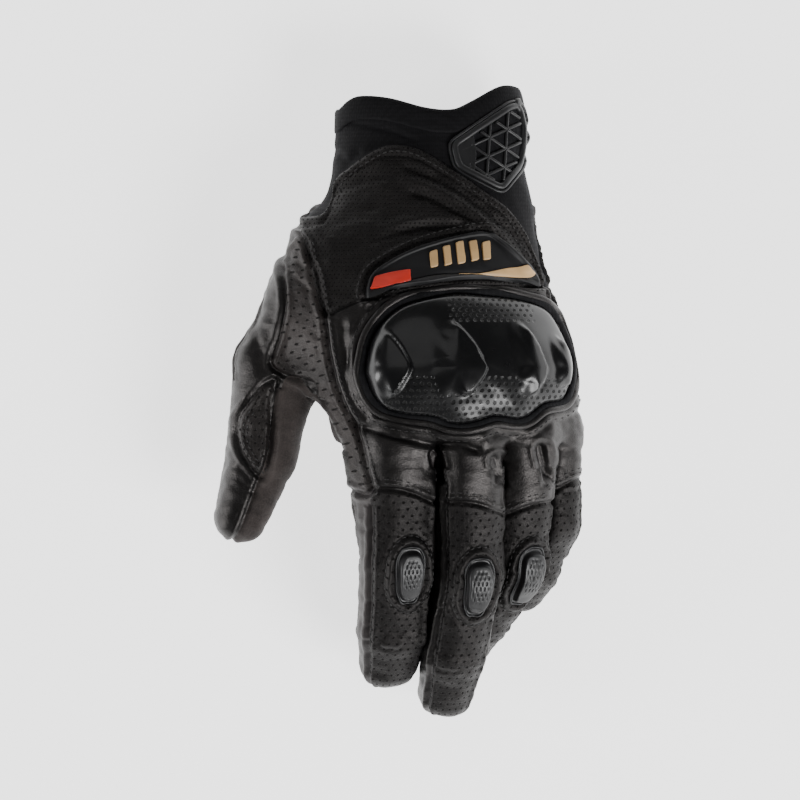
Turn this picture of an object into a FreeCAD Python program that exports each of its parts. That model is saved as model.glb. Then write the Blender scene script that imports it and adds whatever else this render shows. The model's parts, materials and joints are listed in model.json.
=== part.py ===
import FreeCAD, Part
import math
import os

# Motorcycle riding glove for the left hand, short cuff, lying palm down.
# Millimetres. +Z is up, fingers point to -Y, the cuff opens to +Y, the thumb is at -X.
# The glove is hollow: every panel is a thin shell, and each finger is a chain of
# half-tubes that meet at the knuckles with wedge-shaped clearance for bending.

Vector = FreeCAD.Vector

# ---- shell thicknesses and gaps -------------------------------------------------
LEATHER = 1.7
SLEEVE = 2.0
LAYER_GAP = 0.45
HINGE_GAP = 0.45
WEDGE_MARGIN = 1.5
SQUARENESS = 2.3
CURVE_POINTS = 11

# ---- fingers --------------------------------------------------------------------
# root: centre of the base knuckle; heading: degrees towards +X seen from above;
# roll: how far the back of the finger leans towards +X; pitch: how far each bone
# points down; bones: base, middle and tip lengths; width and depth: base and tip.
FINGERS = {
    "index": dict(
        root=Vector(1.4, -16.5, 52.0), heading=2.6, roll=15, pitch=(11, 25, 37),
        bones=(45.5, 29.0, 21.5), width=(22.6, 19.0), depth=(22.0, 17.5),
    ),
    "middle": dict(
        root=Vector(25.6, -15.5, 49.5), heading=4.4, roll=19, pitch=(9, 24, 36),
        bones=(51.5, 33.0, 23.5), width=(21.0, 17.4), depth=(21.4, 16.6),
    ),
    "ring": dict(
        root=Vector(47.6, -14.0, 37.5), heading=3.8, roll=25, pitch=(12, 35, 46),
        bones=(50.0, 26.0, 17.5), width=(19.2, 16.0), depth=(19.6, 15.6),
    ),
    "little": dict(
        root=Vector(63.9, -13.5, 23.0), heading=4.4, roll=32, pitch=(8, 30, 42),
        bones=(33.5, 21.0, 15.5), width=(16.0, 13.6), depth=(16.8, 13.4),
    ),
}
THUMB = dict(
    root=Vector(-50.5, 13.0, 30.0), heading=-11, roll=-76, pitch=(-3, -19),
    bones=(33.0, 30.0), width=(24.0, 17.0), depth=(24.5, 16.5),
)
BASE_RANGE = (-12, 50)
MIDDLE_RANGE = (-10, 65)
TIP_RATIO = 0.6
THUMB_BASE_RANGE = (-14, 12)
THUMB_TIP_RANGE = (-5, 50)
STRAP_RANGE = (0, 110)
INSERT = dict(length=18.0, width=8.6, height=2.6, ahead=2.6)

# ---- hand shell -----------------------------------------------------------------
# Rows: distance along Y, centre X, half width, centre Z, side slope, arch, half depth.
WRIST_ROWS = (
    (118.0, 11.5, 35.5, 15.6, 0.5, 0.0, 20.8),
    (96.0, 12.4, 37.5, 19.5, 1.0, 1.0, 20.6),
    (72.0, 10.4, 41.5, 27.0, 2.0, 4.0, 20.0),
    (53.0, 5.2, 49.0, 34.5, 1.5, 9.0, 19.0),
    (38.5, 3.3, 55.0, 41.0, 0.5, 13.5, 17.6),
    (20.5, 2.4, 61.0, 46.5, -1.0, 17.5, 16.0),
)
PALM_ROWS = (
    (50.0, 14.0, 50.0, 37.5, 8.3, 11.0, 17.3),
    (38.5, 14.0, 50.0, 41.3, 8.2, 11.2, 16.5),
    (20.0, 14.2, 49.6, 46.0, 7.0, 11.0, 15.6),
    (5.0, 17.6, 49.4, 48.0, 7.0, 14.0, 15.0),
    (-12.0, 22.0, 46.8, 49.0, 9.0, 15.5, 13.4),
)
SECTION_SEAM = 20.0
PALM_FRONT_END = -1.0
BACK_END = -11.5
SLEEVE_TOP = 117.5
SLEEVE_BOTTOM = 60.0
HEM_WIDTH = 5.0
LEATHER_TOP = 79.0
LEATHER_TOP_SLANT = -0.3
BACK_SEAM = 42.0
PANEL_GAP = 0.3

# ---- hard parts and pads --------------------------------------------------------
GUARD = dict(top=38.0, bottom=-7.0, middle=70, reach=46, foam=2.6, wall=2.0, dome=5.0, bump=2.4)
BUMPS = dict(angles=(103, 80, 58, 39), spread=8.0, along=15.0, place=0.42)
TRIM_RADIUS = 1.2
BADGE = dict(top=61.5, bottom=46.0, first=38, last=112, height=1.9, slant=0.08)
INLAY = dict(height=0.5, bars=5, first=44, last=72, width=3.6)
LATTICE = dict(top=111.0, bottom=83.0, first=22, last=70, height=2.0, bar=2.0)
LATTICE_GRID = (4, 5)
STRAP = dict(top=75.0, bottom=57.0, free=208, fixed=344, thickness=1.8, hinge=349)
PADS = dict(first=214, last=256, height=0.9)
HEEL_PAD = dict(top=52.0, bottom=28.0, first=300, last=340, height=2.6)
GUSSET = dict(thickness=1.4, near=-2.5, far=-8.0, height=13.0)


def unit(vector):
    """A copy of the vector with length one."""
    return Vector(vector).normalize()


def signed_power(value, power):
    """Raise the size of a value to a power and keep its sign."""
    return math.copysign(abs(value) ** power, value)


def smooth_row(rows, y):
    """Section dimensions at y: a smooth curve through the rows, which go down in y."""
    last = len(rows) - 1
    span = 0
    while span < last - 1 and y < rows[span + 1][0]:
        span += 1
    before, here = rows[max(span - 1, 0)], rows[span]
    there, after = rows[span + 1], rows[min(span + 2, last)]
    t = (y - here[0]) / (there[0] - here[0])
    values = []
    for column in range(1, len(here)):
        step = there[0] - here[0]
        slope_here = (there[column] - before[column]) / (there[0] - before[0]) * step
        slope_there = (after[column] - here[column]) / (after[0] - here[0]) * step
        values.append(
            (2 * t**3 - 3 * t**2 + 1) * here[column]
            + (t**3 - 2 * t**2 + t) * slope_here
            + (3 * t**2 - 2 * t**3) * there[column]
            + (t**3 - t**2) * slope_there
        )
    return values


def hand_point(rows, y, angle, offset):
    """A point on the hand: angle 0 is the little-finger side, 90 the back, 180 the thumb side."""
    centre_x, half_width, centre_z, slope, arch, half_depth = smooth_row(rows, y)
    cosine = math.cos(math.radians(angle))
    sine = math.sin(math.radians(angle))
    across = signed_power(cosine, 2 / SQUARENESS)
    x = centre_x + half_width * across
    z = centre_z - slope * across - arch * across**2
    z += half_depth * signed_power(sine, 2 / SQUARENESS)
    lean = math.atan2(-(slope + 2 * arch * across), half_width)
    normal_x, normal_z = half_depth * cosine, half_width * sine
    size = offset / math.hypot(normal_x, normal_z)
    x += size * (normal_x * math.cos(lean) - normal_z * math.sin(lean))
    z += size * (normal_x * math.sin(lean) + normal_z * math.cos(lean))
    return Vector(x, y, z)


def slanted_point(rows, y, slant, angle, offset):
    """A hand point in the plane that passes x = 0 at y and runs on by slant per mm of x."""
    at = y
    for _ in range(4):
        at = y + slant * hand_point(rows, at, angle, offset).x
    point = hand_point(rows, at, angle, offset)
    return Vector(point.x, y + slant * point.x, point.z)


def curve(points):
    """One smooth edge through the points."""
    spline = Part.BSplineCurve()
    spline.interpolate(points)
    return spline.toShape()


def band_wire(outer, inner):
    """The closed outline between an outer and an inner row of points."""
    edges = [
        curve(outer),
        Part.makeLine(outer[-1], inner[-1]),
        curve(inner[::-1]),
        Part.makeLine(inner[0], outer[0]),
    ]
    return Part.Wire(edges)


def spread(first, last, count):
    """Evenly spaced values from first to last."""
    return [first + (last - first) * i / (count - 1) for i in range(count)]


def hand_panel(rows, ends, angles, offsets, slants=(0.0, 0.0), stations=7):
    """A shell panel on the hand between two y ends, two angles and two offsets.

    angles may be a function of y. offsets holds the inner and outer offset, as numbers
    or functions of (y, angle).
    """
    wires = []
    for y, slant in zip(spread(*ends, stations), spread(*slants, stations)):
        first, last = angles(y) if callable(angles) else angles
        steps = spread(first, last, CURVE_POINTS)
        inner, outer = [
            [
                slanted_point(rows, y, slant, a, offset(y, a) if callable(offset) else offset)
                for a in steps
            ]
            for offset in offsets
        ]
        wires.append(band_wire(outer, inner))
    return Part.makeLoft(wires, True, True)


def hand_tube(rows, ends, offsets, slants=(0.0, 0.0), stations=9):
    """A closed sleeve round the hand, made of a near and a far half joined together."""
    halves = [
        hand_panel(rows, ends, angles, offsets, slants, stations)
        for angles in ((0, 180), (180, 360))
    ]
    return halves[0].fuse(halves[1]).removeSplitter()


# ---- fingers --------------------------------------------------------------------


def finger_axes(finger):
    """The direction along a flat finger, its back normal and its bending axis."""
    roll, heading = math.radians(finger["roll"]), math.radians(finger["heading"])
    normal = Vector(math.sin(roll), 0, math.cos(roll))
    ahead = Vector(math.sin(heading), -math.cos(heading), 0)
    ahead = unit(ahead - normal * ahead.dot(normal))
    return ahead, normal, normal.cross(ahead)


def bone_frame(finger, bone):
    """Start point, direction, back normal and bending axis of one bone."""
    ahead, normal, axis = finger_axes(finger)
    start = Vector(finger["root"])
    for i in range(bone + 1):
        pitch = math.radians(finger["pitch"][i])
        along = ahead * math.cos(pitch) - normal * math.sin(pitch)
        back = normal * math.cos(pitch) + ahead * math.sin(pitch)
        if i < bone:
            start += along * finger["bones"][i]
    return start, along, back, axis


def finger_size(finger, bone, part):
    """Half width and half depth at a fraction of one bone."""
    done = sum(finger["bones"][:bone]) + finger["bones"][bone] * part
    share = done / sum(finger["bones"])
    return [
        (finger[key][0] + (finger[key][1] - finger[key][0]) * share) / 2
        for key in ("width", "depth")
    ]


def half_ring(frame, distance, size, side, shear):
    """Points of half an oval across a bone; shear slants the plane as it leaves the axis."""
    start, along, back, axis = frame
    points = []
    for angle in spread(0, 180, CURVE_POINTS):
        across = size[0] * signed_power(math.cos(math.radians(angle)), 2 / SQUARENESS)
        up = size[1] * signed_power(math.sin(math.radians(angle)), 2 / SQUARENESS)
        point = start + axis * across + back * (side * (up + 0.06))
        points.append(point + along * (distance + shear * up))
    return points


def segment_stations(finger, bone, shears, is_tip):
    """Distance, outer size, inner size and shear of each section along a bone."""
    length = finger["bones"][bone]
    stations = []
    last = 0.72 if is_tip else 1.0
    for part in spread(0.0, last, 4):
        width, depth = finger_size(finger, bone, part)
        distance = length * part
        shear = shears[0] * (1 - part / last)
        if part == 0.0:
            distance += HINGE_GAP
        if not is_tip:
            shear -= shears[1] * part
            if part == 1.0:
                distance -= HINGE_GAP
        stations.append((distance, (width, depth), (width - LEATHER, depth - LEATHER), shear))
    if is_tip:
        width, depth = finger_size(finger, bone, 1.0)
        begin = length * last
        reach = length + depth * 0.75 - begin
        for turn in (30, 55, 75):
            scale = math.cos(math.radians(turn))
            inside = max(scale * depth - LEATHER - turn / 30, 0.4) / depth
            stations.append(
                (
                    begin + reach * math.sin(math.radians(turn)),
                    (width * scale, depth * scale),
                    (width * inside, depth * inside),
                    0.0,
                )
            )
    return stations


def half_segment(finger, bone, side, bends, is_tip=False):
    """One half-tube of a finger: side 1 is the back, side -1 the palm side.

    bends are the joint ranges at its near and far end, which set the wedge cuts.
    """
    frame = bone_frame(finger, bone)
    pitch = (finger["pitch"][0],) + finger["pitch"]
    shears = []
    for (low, high), near, far in zip(bends, pitch[bone:], pitch[bone + 1 :]):
        bent = far - near
        reach = high + bent if side < 0 else -low - bent
        shears.append(math.tan(math.radians(reach / 2 + WEDGE_MARGIN)))
    wires = []
    for distance, outer, inner, shear in segment_stations(finger, bone, shears, is_tip):
        wires.append(
            band_wire(
                half_ring(frame, distance, outer, side, shear),
                half_ring(frame, distance, inner, side, shear),
            )
        )
    return Part.makeLoft(wires, True, True)


def knuckle_insert(finger):
    """A coffin-shaped rubber plate over the middle knuckle, with a sloped rim."""
    start, along, back, axis = bone_frame(finger, 1)
    depth = finger_size(finger, 1, 0.0)[1]
    rims = ((0.0, 1.0), (0.55, 1.0), (1.0, 0.72))
    wires = []
    for level, scale in rims:
        lift = depth + LAYER_GAP + 0.5 + INSERT["height"] * level
        half_length, half_width = INSERT["length"] / 2 * scale, INSERT["width"] / 2 * scale
        corners = [(-1, 0.55), (-0.6, 1), (0.35, 1), (1, 0.5)]
        outline = [(a, b) for a, b in corners] + [(a, -b) for a, b in corners[::-1]]
        points = [
            start
            + along * (INSERT["ahead"] + a * half_length)
            + axis * (b * half_width)
            + back * lift
            for a, b in outline
        ]
        wires.append(Part.makePolygon(points + points[:1]))
    return Part.makeLoft(wires, True, True)


def finger_nodes(name, finger):
    """All pieces of one finger, by node name."""
    tip_range = tuple(TIP_RATIO * limit for limit in MIDDLE_RANGE)
    nodes = {}
    for side, face in ((1, "back"), (-1, "front")):
        nodes[f"{name}_base_{face}"] = half_segment(finger, 0, side, (BASE_RANGE, MIDDLE_RANGE))
        nodes[f"{name}_middle_{face}"] = half_segment(finger, 1, side, (MIDDLE_RANGE, tip_range))
        nodes[f"{name}_tip_{face}"] = half_segment(finger, 2, side, (tip_range,), True)
    if name != "little":
        nodes[f"{name}_knuckle_insert"] = knuckle_insert(finger)
    return nodes


def thumb_nodes():
    """All pieces of the thumb beyond its base knuckle."""
    nodes = {}
    for side, face in ((1, "back"), (-1, "front")):
        bends = (THUMB_BASE_RANGE, THUMB_TIP_RANGE)
        nodes[f"thumb_base_{face}"] = half_segment(THUMB, 0, side, bends)
        nodes[f"thumb_tip_{face}"] = half_segment(THUMB, 1, side, (THUMB_TIP_RANGE,), True)
    return nodes


# ---- hand -----------------------------------------------------------------------


def leather_panels():
    """The leather shell of the hand, cut into its sewn panels."""
    skin = (-LEATHER, 0.0)
    wrist_end = SECTION_SEAM + 2 * PANEL_GAP
    below_seam = (BACK_SEAM - PANEL_GAP, wrist_end)
    palm = (SECTION_SEAM, PALM_FRONT_END)
    slant = (LEATHER_TOP_SLANT, 0.0)
    return {
        "wrist_back_panel": hand_panel(WRIST_ROWS, (LEATHER_TOP, BACK_SEAM), (4, 152), skin, slant),
        "wrist_side_panel": hand_panel(WRIST_ROWS, (LEATHER_TOP - 3, BACK_SEAM), (153, 196), skin),
        "knuckle_base_panel": hand_panel(WRIST_ROWS, below_seam, (4, 146), skin),
        "side_gusset": hand_panel(WRIST_ROWS, below_seam, (147, 168), skin),
        "thumb_root_panel": hand_panel(WRIST_ROWS, below_seam, (169, 196), skin),
        "palm_heel_panel": hand_panel(WRIST_ROWS, (LEATHER_TOP - 3, wrist_end), (197, 363), skin),
        "knuckle_back_panel": hand_panel(PALM_ROWS, (SECTION_SEAM, BACK_END), (4, 150), skin),
        "index_side_panel": hand_panel(PALM_ROWS, palm, (151, 200), skin),
        "palm_panel": hand_panel(PALM_ROWS, palm, (201, 363), skin),
    }


def cuff_nodes():
    """The stretch sleeve with its hem, and the lining behind the back panels."""
    inside = -LEATHER - LAYER_GAP
    sleeve = (inside - SLEEVE, inside)
    hem_ends = (SLEEVE_TOP + PANEL_GAP, SLEEVE_TOP + PANEL_GAP - HEM_WIDTH)
    lining_ends = (SLEEVE_BOTTOM - 1, SECTION_SEAM + 1)
    return {
        "cuff_sleeve": hand_tube(WRIST_ROWS, (SLEEVE_TOP, SLEEVE_BOTTOM), sleeve),
        "cuff_hem": hand_tube(WRIST_ROWS, hem_ends, (inside + 0.1, -0.4), stations=3),
        "back_lining": hand_panel(WRIST_ROWS, lining_ends, (12, 150), (inside - 1.2, inside)),
    }


def guard_reach(y, margin=0.0):
    """First and last angle of the knuckle guard at y: an oval outline."""
    half = (GUARD["top"] - GUARD["bottom"]) / 2 + margin / 2
    along = (y - GUARD["bottom"] + margin / 2) / half - 1
    reach = (GUARD["reach"] + margin) * max(1 - abs(along) ** 2.6, 0.0) ** (1 / 2.6)
    return GUARD["middle"] - reach, GUARD["middle"] + reach


def guard_rise(y, angle):
    """How far the guard's dome stands up at a place: nothing at its rim."""
    along = 2 * (y - GUARD["bottom"]) / (GUARD["top"] - GUARD["bottom"]) - 1
    across = (angle - GUARD["middle"]) / GUARD["reach"]
    return GUARD["dome"] * max((1 - along**2) * (1 - across**2), 0.0) ** 0.5


def guard_under(y, angle):
    """Inner face of the knuckle guard."""
    return LAYER_GAP * 4 + GUARD["foam"] + 0.85 * guard_rise(y, angle)


def guard_top(y, angle):
    """Outer face of the knuckle guard: the dome with one bump over each knuckle."""
    middle = GUARD["bottom"] + (GUARD["top"] - GUARD["bottom"]) * BUMPS["place"]
    bumps = sum(
        math.exp(-(((angle - at) / BUMPS["spread"]) ** 2) - ((y - middle) / BUMPS["along"]) ** 2)
        for at in BUMPS["angles"]
    )
    rise = guard_rise(y, angle) + GUARD["bump"] * bumps
    return LAYER_GAP * 4 + GUARD["foam"] + GUARD["wall"] + rise


def round_bead(path, first, last, radius):
    """A solid round bead along part of a curve."""
    arc = path.copy()
    arc.segment(first, last)
    profile = Part.Circle(arc.value(arc.FirstParameter), arc.tangent(arc.FirstParameter)[0], radius)
    return Part.Wire([arc.toShape()]).makePipeShell([Part.Wire([profile.toShape()])], True, False)


def guard_nodes():
    """The knuckle guard, its foam and its rolled leather trim."""
    ends = (GUARD["top"] - 0.5, GUARD["bottom"] + 0.5)
    foam_ends = (GUARD["top"] - 1.5, GUARD["bottom"] + 1.5)
    foam = (3 * LAYER_GAP, 3 * LAYER_GAP + GUARD["foam"])
    shell = hand_panel(PALM_ROWS, ends, guard_reach, (guard_under, guard_top), stations=13)
    path = []
    for turn in spread(0, 330, 12):
        cosine, sine = math.cos(math.radians(turn)), math.sin(math.radians(turn))
        half = (GUARD["top"] - GUARD["bottom"]) / 2
        y = (GUARD["top"] + GUARD["bottom"]) / 2 + (half + 2.5) * signed_power(sine, 0.8)
        angle = GUARD["middle"] + (GUARD["reach"] + 4) * signed_power(cosine, 0.8)
        path.append(hand_point(PALM_ROWS, y, angle, 3 * LAYER_GAP + TRIM_RADIUS))
    ring = Part.BSplineCurve()
    ring.interpolate(path, PeriodicFlag=True)
    first, last = ring.FirstParameter, ring.LastParameter
    middle = (first + last) / 2
    halves = [round_bead(ring, *span, TRIM_RADIUS) for span in ((first, middle), (middle, last))]
    return {
        "knuckle_guard": shell,
        "knuckle_guard_foam": hand_panel(PALM_ROWS, foam_ends, guard_reach, foam, stations=9),
        "knuckle_guard_trim": halves[0].fuse(halves[1]),
    }


def badge_nodes():
    """The moulded badge plate on the back of the wrist, its raised bars and its red tab."""
    plate_top = LAYER_GAP + BADGE["height"]
    slants = (BADGE["slant"], 0.0)
    plate = hand_panel(
        WRIST_ROWS,
        (BADGE["top"], BADGE["bottom"]),
        (BADGE["first"], BADGE["last"]),
        (LAYER_GAP, plate_top),
        slants,
    )
    raised = (plate_top + 0.05, plate_top + 0.05 + INLAY["height"])
    bars = [
        hand_panel(WRIST_ROWS, (59.0, 50.5), (at, at + INLAY["width"]), raised, stations=3)
        for at in spread(INLAY["first"], INLAY["last"], INLAY["bars"])
    ]
    tab = hand_panel(WRIST_ROWS, (52.5, 47.0), (94, 108), raised, stations=3)
    return {"badge_plate": plate, "badge_bars": Part.makeCompound(bars), "badge_red_tab": tab}


def lattice_hole(y, angle, size, tip):
    """A triangular punch through the lattice guard, pointing up or down the wrist."""
    corners = [(size[0] / 2 * tip, 0), (-size[0] / 2 * tip, 1), (-size[0] / 2 * tip, -1)]
    wires = []
    for offset in (-6.0, 4.0):
        points = [
            hand_point(WRIST_ROWS, y + dy, angle + da * size[1] / 2, offset) for dy, da in corners
        ]
        wires.append(Part.makePolygon(points + points[:1]))
    return Part.makeLoft(wires, True, True)


def lattice_nodes():
    """The triangular lattice guard on the outside of the wrist and the mesh behind it."""
    sleeve_top = -LEATHER - LAYER_GAP
    backing = (sleeve_top + LAYER_GAP / 2, sleeve_top + LAYER_GAP / 2 + 0.6)
    shell = (backing[1] + 0.1, backing[1] + 0.1 + LATTICE["height"])
    ends = (LATTICE["top"], LATTICE["bottom"])
    angles = (LATTICE["first"], LATTICE["last"])
    plate = hand_panel(WRIST_ROWS, ends, angles, shell)
    rows, columns = LATTICE_GRID
    pitch = (ends[0] - ends[1]) / rows, (angles[1] - angles[0]) / columns
    holes = []
    for row in range(rows):
        y = ends[1] + pitch[0] * (row + 0.5)
        for column in range(2 * columns - 1):
            angle = angles[0] + pitch[1] * (column + 1) / 2
            size = (pitch[0] - LATTICE["bar"], pitch[1] * 0.62)
            holes.append(lattice_hole(y, angle, size, 1 if (row + column) % 2 else -1))
    inner = hand_panel(WRIST_ROWS, (ends[0] - 1, ends[1] + 1), (angles[0] + 1, angles[1] - 1), backing)
    return {"wrist_lattice_guard": plate.cut(holes), "wrist_lattice_backing": inner}


def strap_layers():
    """Offsets of the loop pad, the hook pad and the closure strap, from the palm outwards."""
    loop = (LAYER_GAP, LAYER_GAP + PADS["height"])
    hook = (loop[1] + LAYER_GAP, loop[1] + LAYER_GAP + PADS["height"])
    band = (hook[1] + LAYER_GAP / 3, hook[1] + LAYER_GAP / 3 + STRAP["thickness"])
    return loop, hook, band


def strap_nodes():
    """The closure strap under the wrist, its pull tab and its hook-and-loop pads."""
    loop, hook, band = strap_layers()
    ends = (STRAP["top"], STRAP["bottom"])
    pad_ends = (ends[0] - 2, ends[1] + 2)
    pads = (PADS["first"], PADS["last"])
    tab = (band[0] + 0.1, band[1] + 1.0)
    tab_angles = (STRAP["free"] - 11, STRAP["free"] - 1)
    return {
        "wrist_loop_pad": hand_panel(WRIST_ROWS, pad_ends, pads, loop, stations=4),
        "strap_hook_pad": hand_panel(WRIST_ROWS, pad_ends, pads, hook, stations=4),
        "strap_band": hand_panel(WRIST_ROWS, ends, (STRAP["free"], STRAP["fixed"]), band),
        "strap_pull_tab": hand_panel(WRIST_ROWS, pad_ends, tab_angles, tab, stations=4),
    }


def heel_pad():
    """The padded patch at the heel of the palm."""
    ends = (HEEL_PAD["top"], HEEL_PAD["bottom"])
    offsets = (LAYER_GAP, LAYER_GAP + HEEL_PAD["height"])
    return hand_panel(WRIST_ROWS, ends, (HEEL_PAD["first"], HEEL_PAD["last"]), offsets)


def finger_gussets():
    """The three upright webs between the finger openings."""
    webs = []
    fingers = list(FINGERS.values())
    length = GUSSET["near"] - GUSSET["far"]
    for one, other in zip(fingers, fingers[1:]):
        web = Part.makeBox(GUSSET["thickness"], length, GUSSET["height"])
        web.translate(Vector(-GUSSET["thickness"] / 2, 0, -GUSSET["height"] / 2))
        web.rotate(Vector(0, 0, 0), Vector(0, 1, 0), (one["roll"] + other["roll"]) / 2)
        middle = (one["root"] + other["root"]) / 2
        web.translate(Vector(middle.x, GUSSET["far"], middle.z))
        webs.append(web)
    return Part.makeCompound(webs)


def design_nodes():
    """Every node of the glove, by name, in the design's own frame."""
    nodes = {}
    nodes.update(leather_panels())
    nodes.update(cuff_nodes())
    nodes.update(guard_nodes())
    nodes.update(badge_nodes())
    nodes.update(lattice_nodes())
    nodes.update(strap_nodes())
    nodes["palm_heel_pad"] = heel_pad()
    nodes["finger_gussets"] = finger_gussets()
    for name, finger in FINGERS.items():
        nodes.update(finger_nodes(name, finger))
    nodes.update(thumb_nodes())
    return nodes


def design_hinges():
    """Name, parent, child, position, axis and range in degrees of every hinge."""
    hinges = []
    tip_range = tuple(TIP_RATIO * limit for limit in MIDDLE_RANGE)
    for name, finger in FINGERS.items():
        ranges = (BASE_RANGE, MIDDLE_RANGE, tip_range)
        parent = "hand"
        for bone, (part, limits) in enumerate(zip(("base", "middle", "tip"), ranges)):
            start, _, _, axis = bone_frame(finger, bone)
            child = f"{name}_{part}"
            hinges.append((f"{child}_bend", parent, child, start, axis, limits))
            parent = child
    parent = "hand"
    for bone, (part, limits) in enumerate(
        zip(("base", "tip"), (THUMB_BASE_RANGE, THUMB_TIP_RANGE))
    ):
        start, _, _, axis = bone_frame(THUMB, bone)
        child = f"thumb_{part}"
        hinges.append((f"{child}_bend", parent, child, start, axis, limits))
        parent = child
    lift = sum(strap_layers()[2]) / 2
    near, far = [hand_point(WRIST_ROWS, STRAP[end], STRAP["hinge"], lift) for end in ("top", "bottom")]
    hinges.append(
        ("wrist_strap_peel", "hand", "wrist_strap", (near + far) / 2, unit(far - near), STRAP_RANGE)
    )
    return hinges


def base_shift(nodes):
    """The move that puts the bottom centre of the glove's box at the origin."""
    whole = FreeCAD.BoundBox()
    for shape in nodes.values():
        whole.add(shape.optimalBoundingBox(False, False))
    return Vector(-whole.Center.x, -whole.Center.y, -whole.ZMin)


def build():
    """Placed nodes by name, and the placed hinges."""
    nodes = design_nodes()
    shift = base_shift(nodes)
    for shape in nodes.values():
        shape.translate(shift)
    hinges = [
        (name, parent, child, position + shift, axis, limits)
        for name, parent, child, position, axis, limits in design_hinges()
    ]
    return nodes, hinges


def main():
    os.makedirs("parts", exist_ok=True)
    nodes, _ = build()
    for name, shape in nodes.items():
        shape.exportStep(f"parts/{name}.step")


if __name__ == "__main__":
    main()
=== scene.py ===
import json
import bpy
import numpy as np
import openvdb
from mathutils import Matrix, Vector
from mathutils.bvhtree import BVHTree


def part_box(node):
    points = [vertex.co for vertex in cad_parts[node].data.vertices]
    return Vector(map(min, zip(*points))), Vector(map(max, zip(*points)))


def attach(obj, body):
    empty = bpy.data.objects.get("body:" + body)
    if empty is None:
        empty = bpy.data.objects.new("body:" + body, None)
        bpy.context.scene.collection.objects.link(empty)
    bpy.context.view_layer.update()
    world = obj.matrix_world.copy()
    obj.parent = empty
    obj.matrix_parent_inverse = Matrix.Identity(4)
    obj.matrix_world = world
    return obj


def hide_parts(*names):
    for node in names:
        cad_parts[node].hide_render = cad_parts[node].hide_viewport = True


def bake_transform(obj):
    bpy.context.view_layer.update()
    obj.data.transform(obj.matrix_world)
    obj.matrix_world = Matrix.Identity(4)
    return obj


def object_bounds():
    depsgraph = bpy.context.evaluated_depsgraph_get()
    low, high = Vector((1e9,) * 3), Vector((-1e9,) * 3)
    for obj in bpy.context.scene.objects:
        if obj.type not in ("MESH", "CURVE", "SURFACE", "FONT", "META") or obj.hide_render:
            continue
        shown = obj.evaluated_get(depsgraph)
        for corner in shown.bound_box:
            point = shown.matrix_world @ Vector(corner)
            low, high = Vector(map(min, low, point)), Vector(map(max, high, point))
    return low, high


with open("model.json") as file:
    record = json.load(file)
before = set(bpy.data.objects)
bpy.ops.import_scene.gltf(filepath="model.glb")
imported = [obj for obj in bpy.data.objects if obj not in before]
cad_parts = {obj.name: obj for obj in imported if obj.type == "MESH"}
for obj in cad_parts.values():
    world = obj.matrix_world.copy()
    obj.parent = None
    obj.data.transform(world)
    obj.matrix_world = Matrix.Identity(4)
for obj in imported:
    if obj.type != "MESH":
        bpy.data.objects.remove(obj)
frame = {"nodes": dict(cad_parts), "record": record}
CAD_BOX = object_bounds()

# Lengths below are millimetres in the glove's design frame: X towards the little finger,
# Y towards the cuff, Z up from the back of the hand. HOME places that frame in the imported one.
MM = 0.001
JOINTS = {joint["name"]: joint for joint in frame["record"]["behaviour"]["joints"]}
INDEX_KNUCKLE = np.array((1.4, -16.5, 52.0))
HOME = np.array(JOINTS["index_base_bend"]["pos_m"]) / MM - INDEX_KNUCKLE
VOXEL = 0.62
COARSE = 4
NORM = 2.35

# Half width and half depth at the base, middle and tip knuckles and at the fingertip, and how
# far (x, z) the soft finger lies from its line of joints there.
FINGERS = {
    "index": dict(
        wide=(14.4, 13.1, 12.2, 9.6), deep=(13.0, 12.0, 10.6, 8.6),
        off=((-1.4, 0), (-1.6, 0), (-1.2, 0), (-1.0, 0)), short=1.0,
    ),
    "middle": dict(
        wide=(12.9, 11.4, 10.8, 9.3), deep=(12.9, 12.0, 10.4, 8.4),
        off=((0.6, 0), (0.2, 0), (-3.2, 0), (-3.5, 0)), short=-0.4,
    ),
    "ring": dict(
        wide=(12.2, 10.8, 9.0, 7.4), deep=(12.3, 11.0, 9.4, 7.4),
        off=((0, 0), (-1.6, 0), (-8.8, 1.0), (-10.6, 0.5)), short=1.5,
    ),
    "little": dict(
        wide=(9.8, 9.0, 8.2, 6.9), deep=(10.6, 9.8, 8.8, 7.0),
        off=((-4.8, 0), (-4.4, 0), (-6.6, -1.0), (-7.0, -1.0)), short=0.3,
    ),
}
THUMB = dict(
    wide=(12.8, 11.3, 11.9, 8.2), deep=(16.4, 14.0, 12.2, 8.6),
    off=((0, 0), (2.0, 0), (-0.2, 0), (0.2, 0)), heel=(-21.0, 54.0, 33.0), short=-0.6,
)
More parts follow.
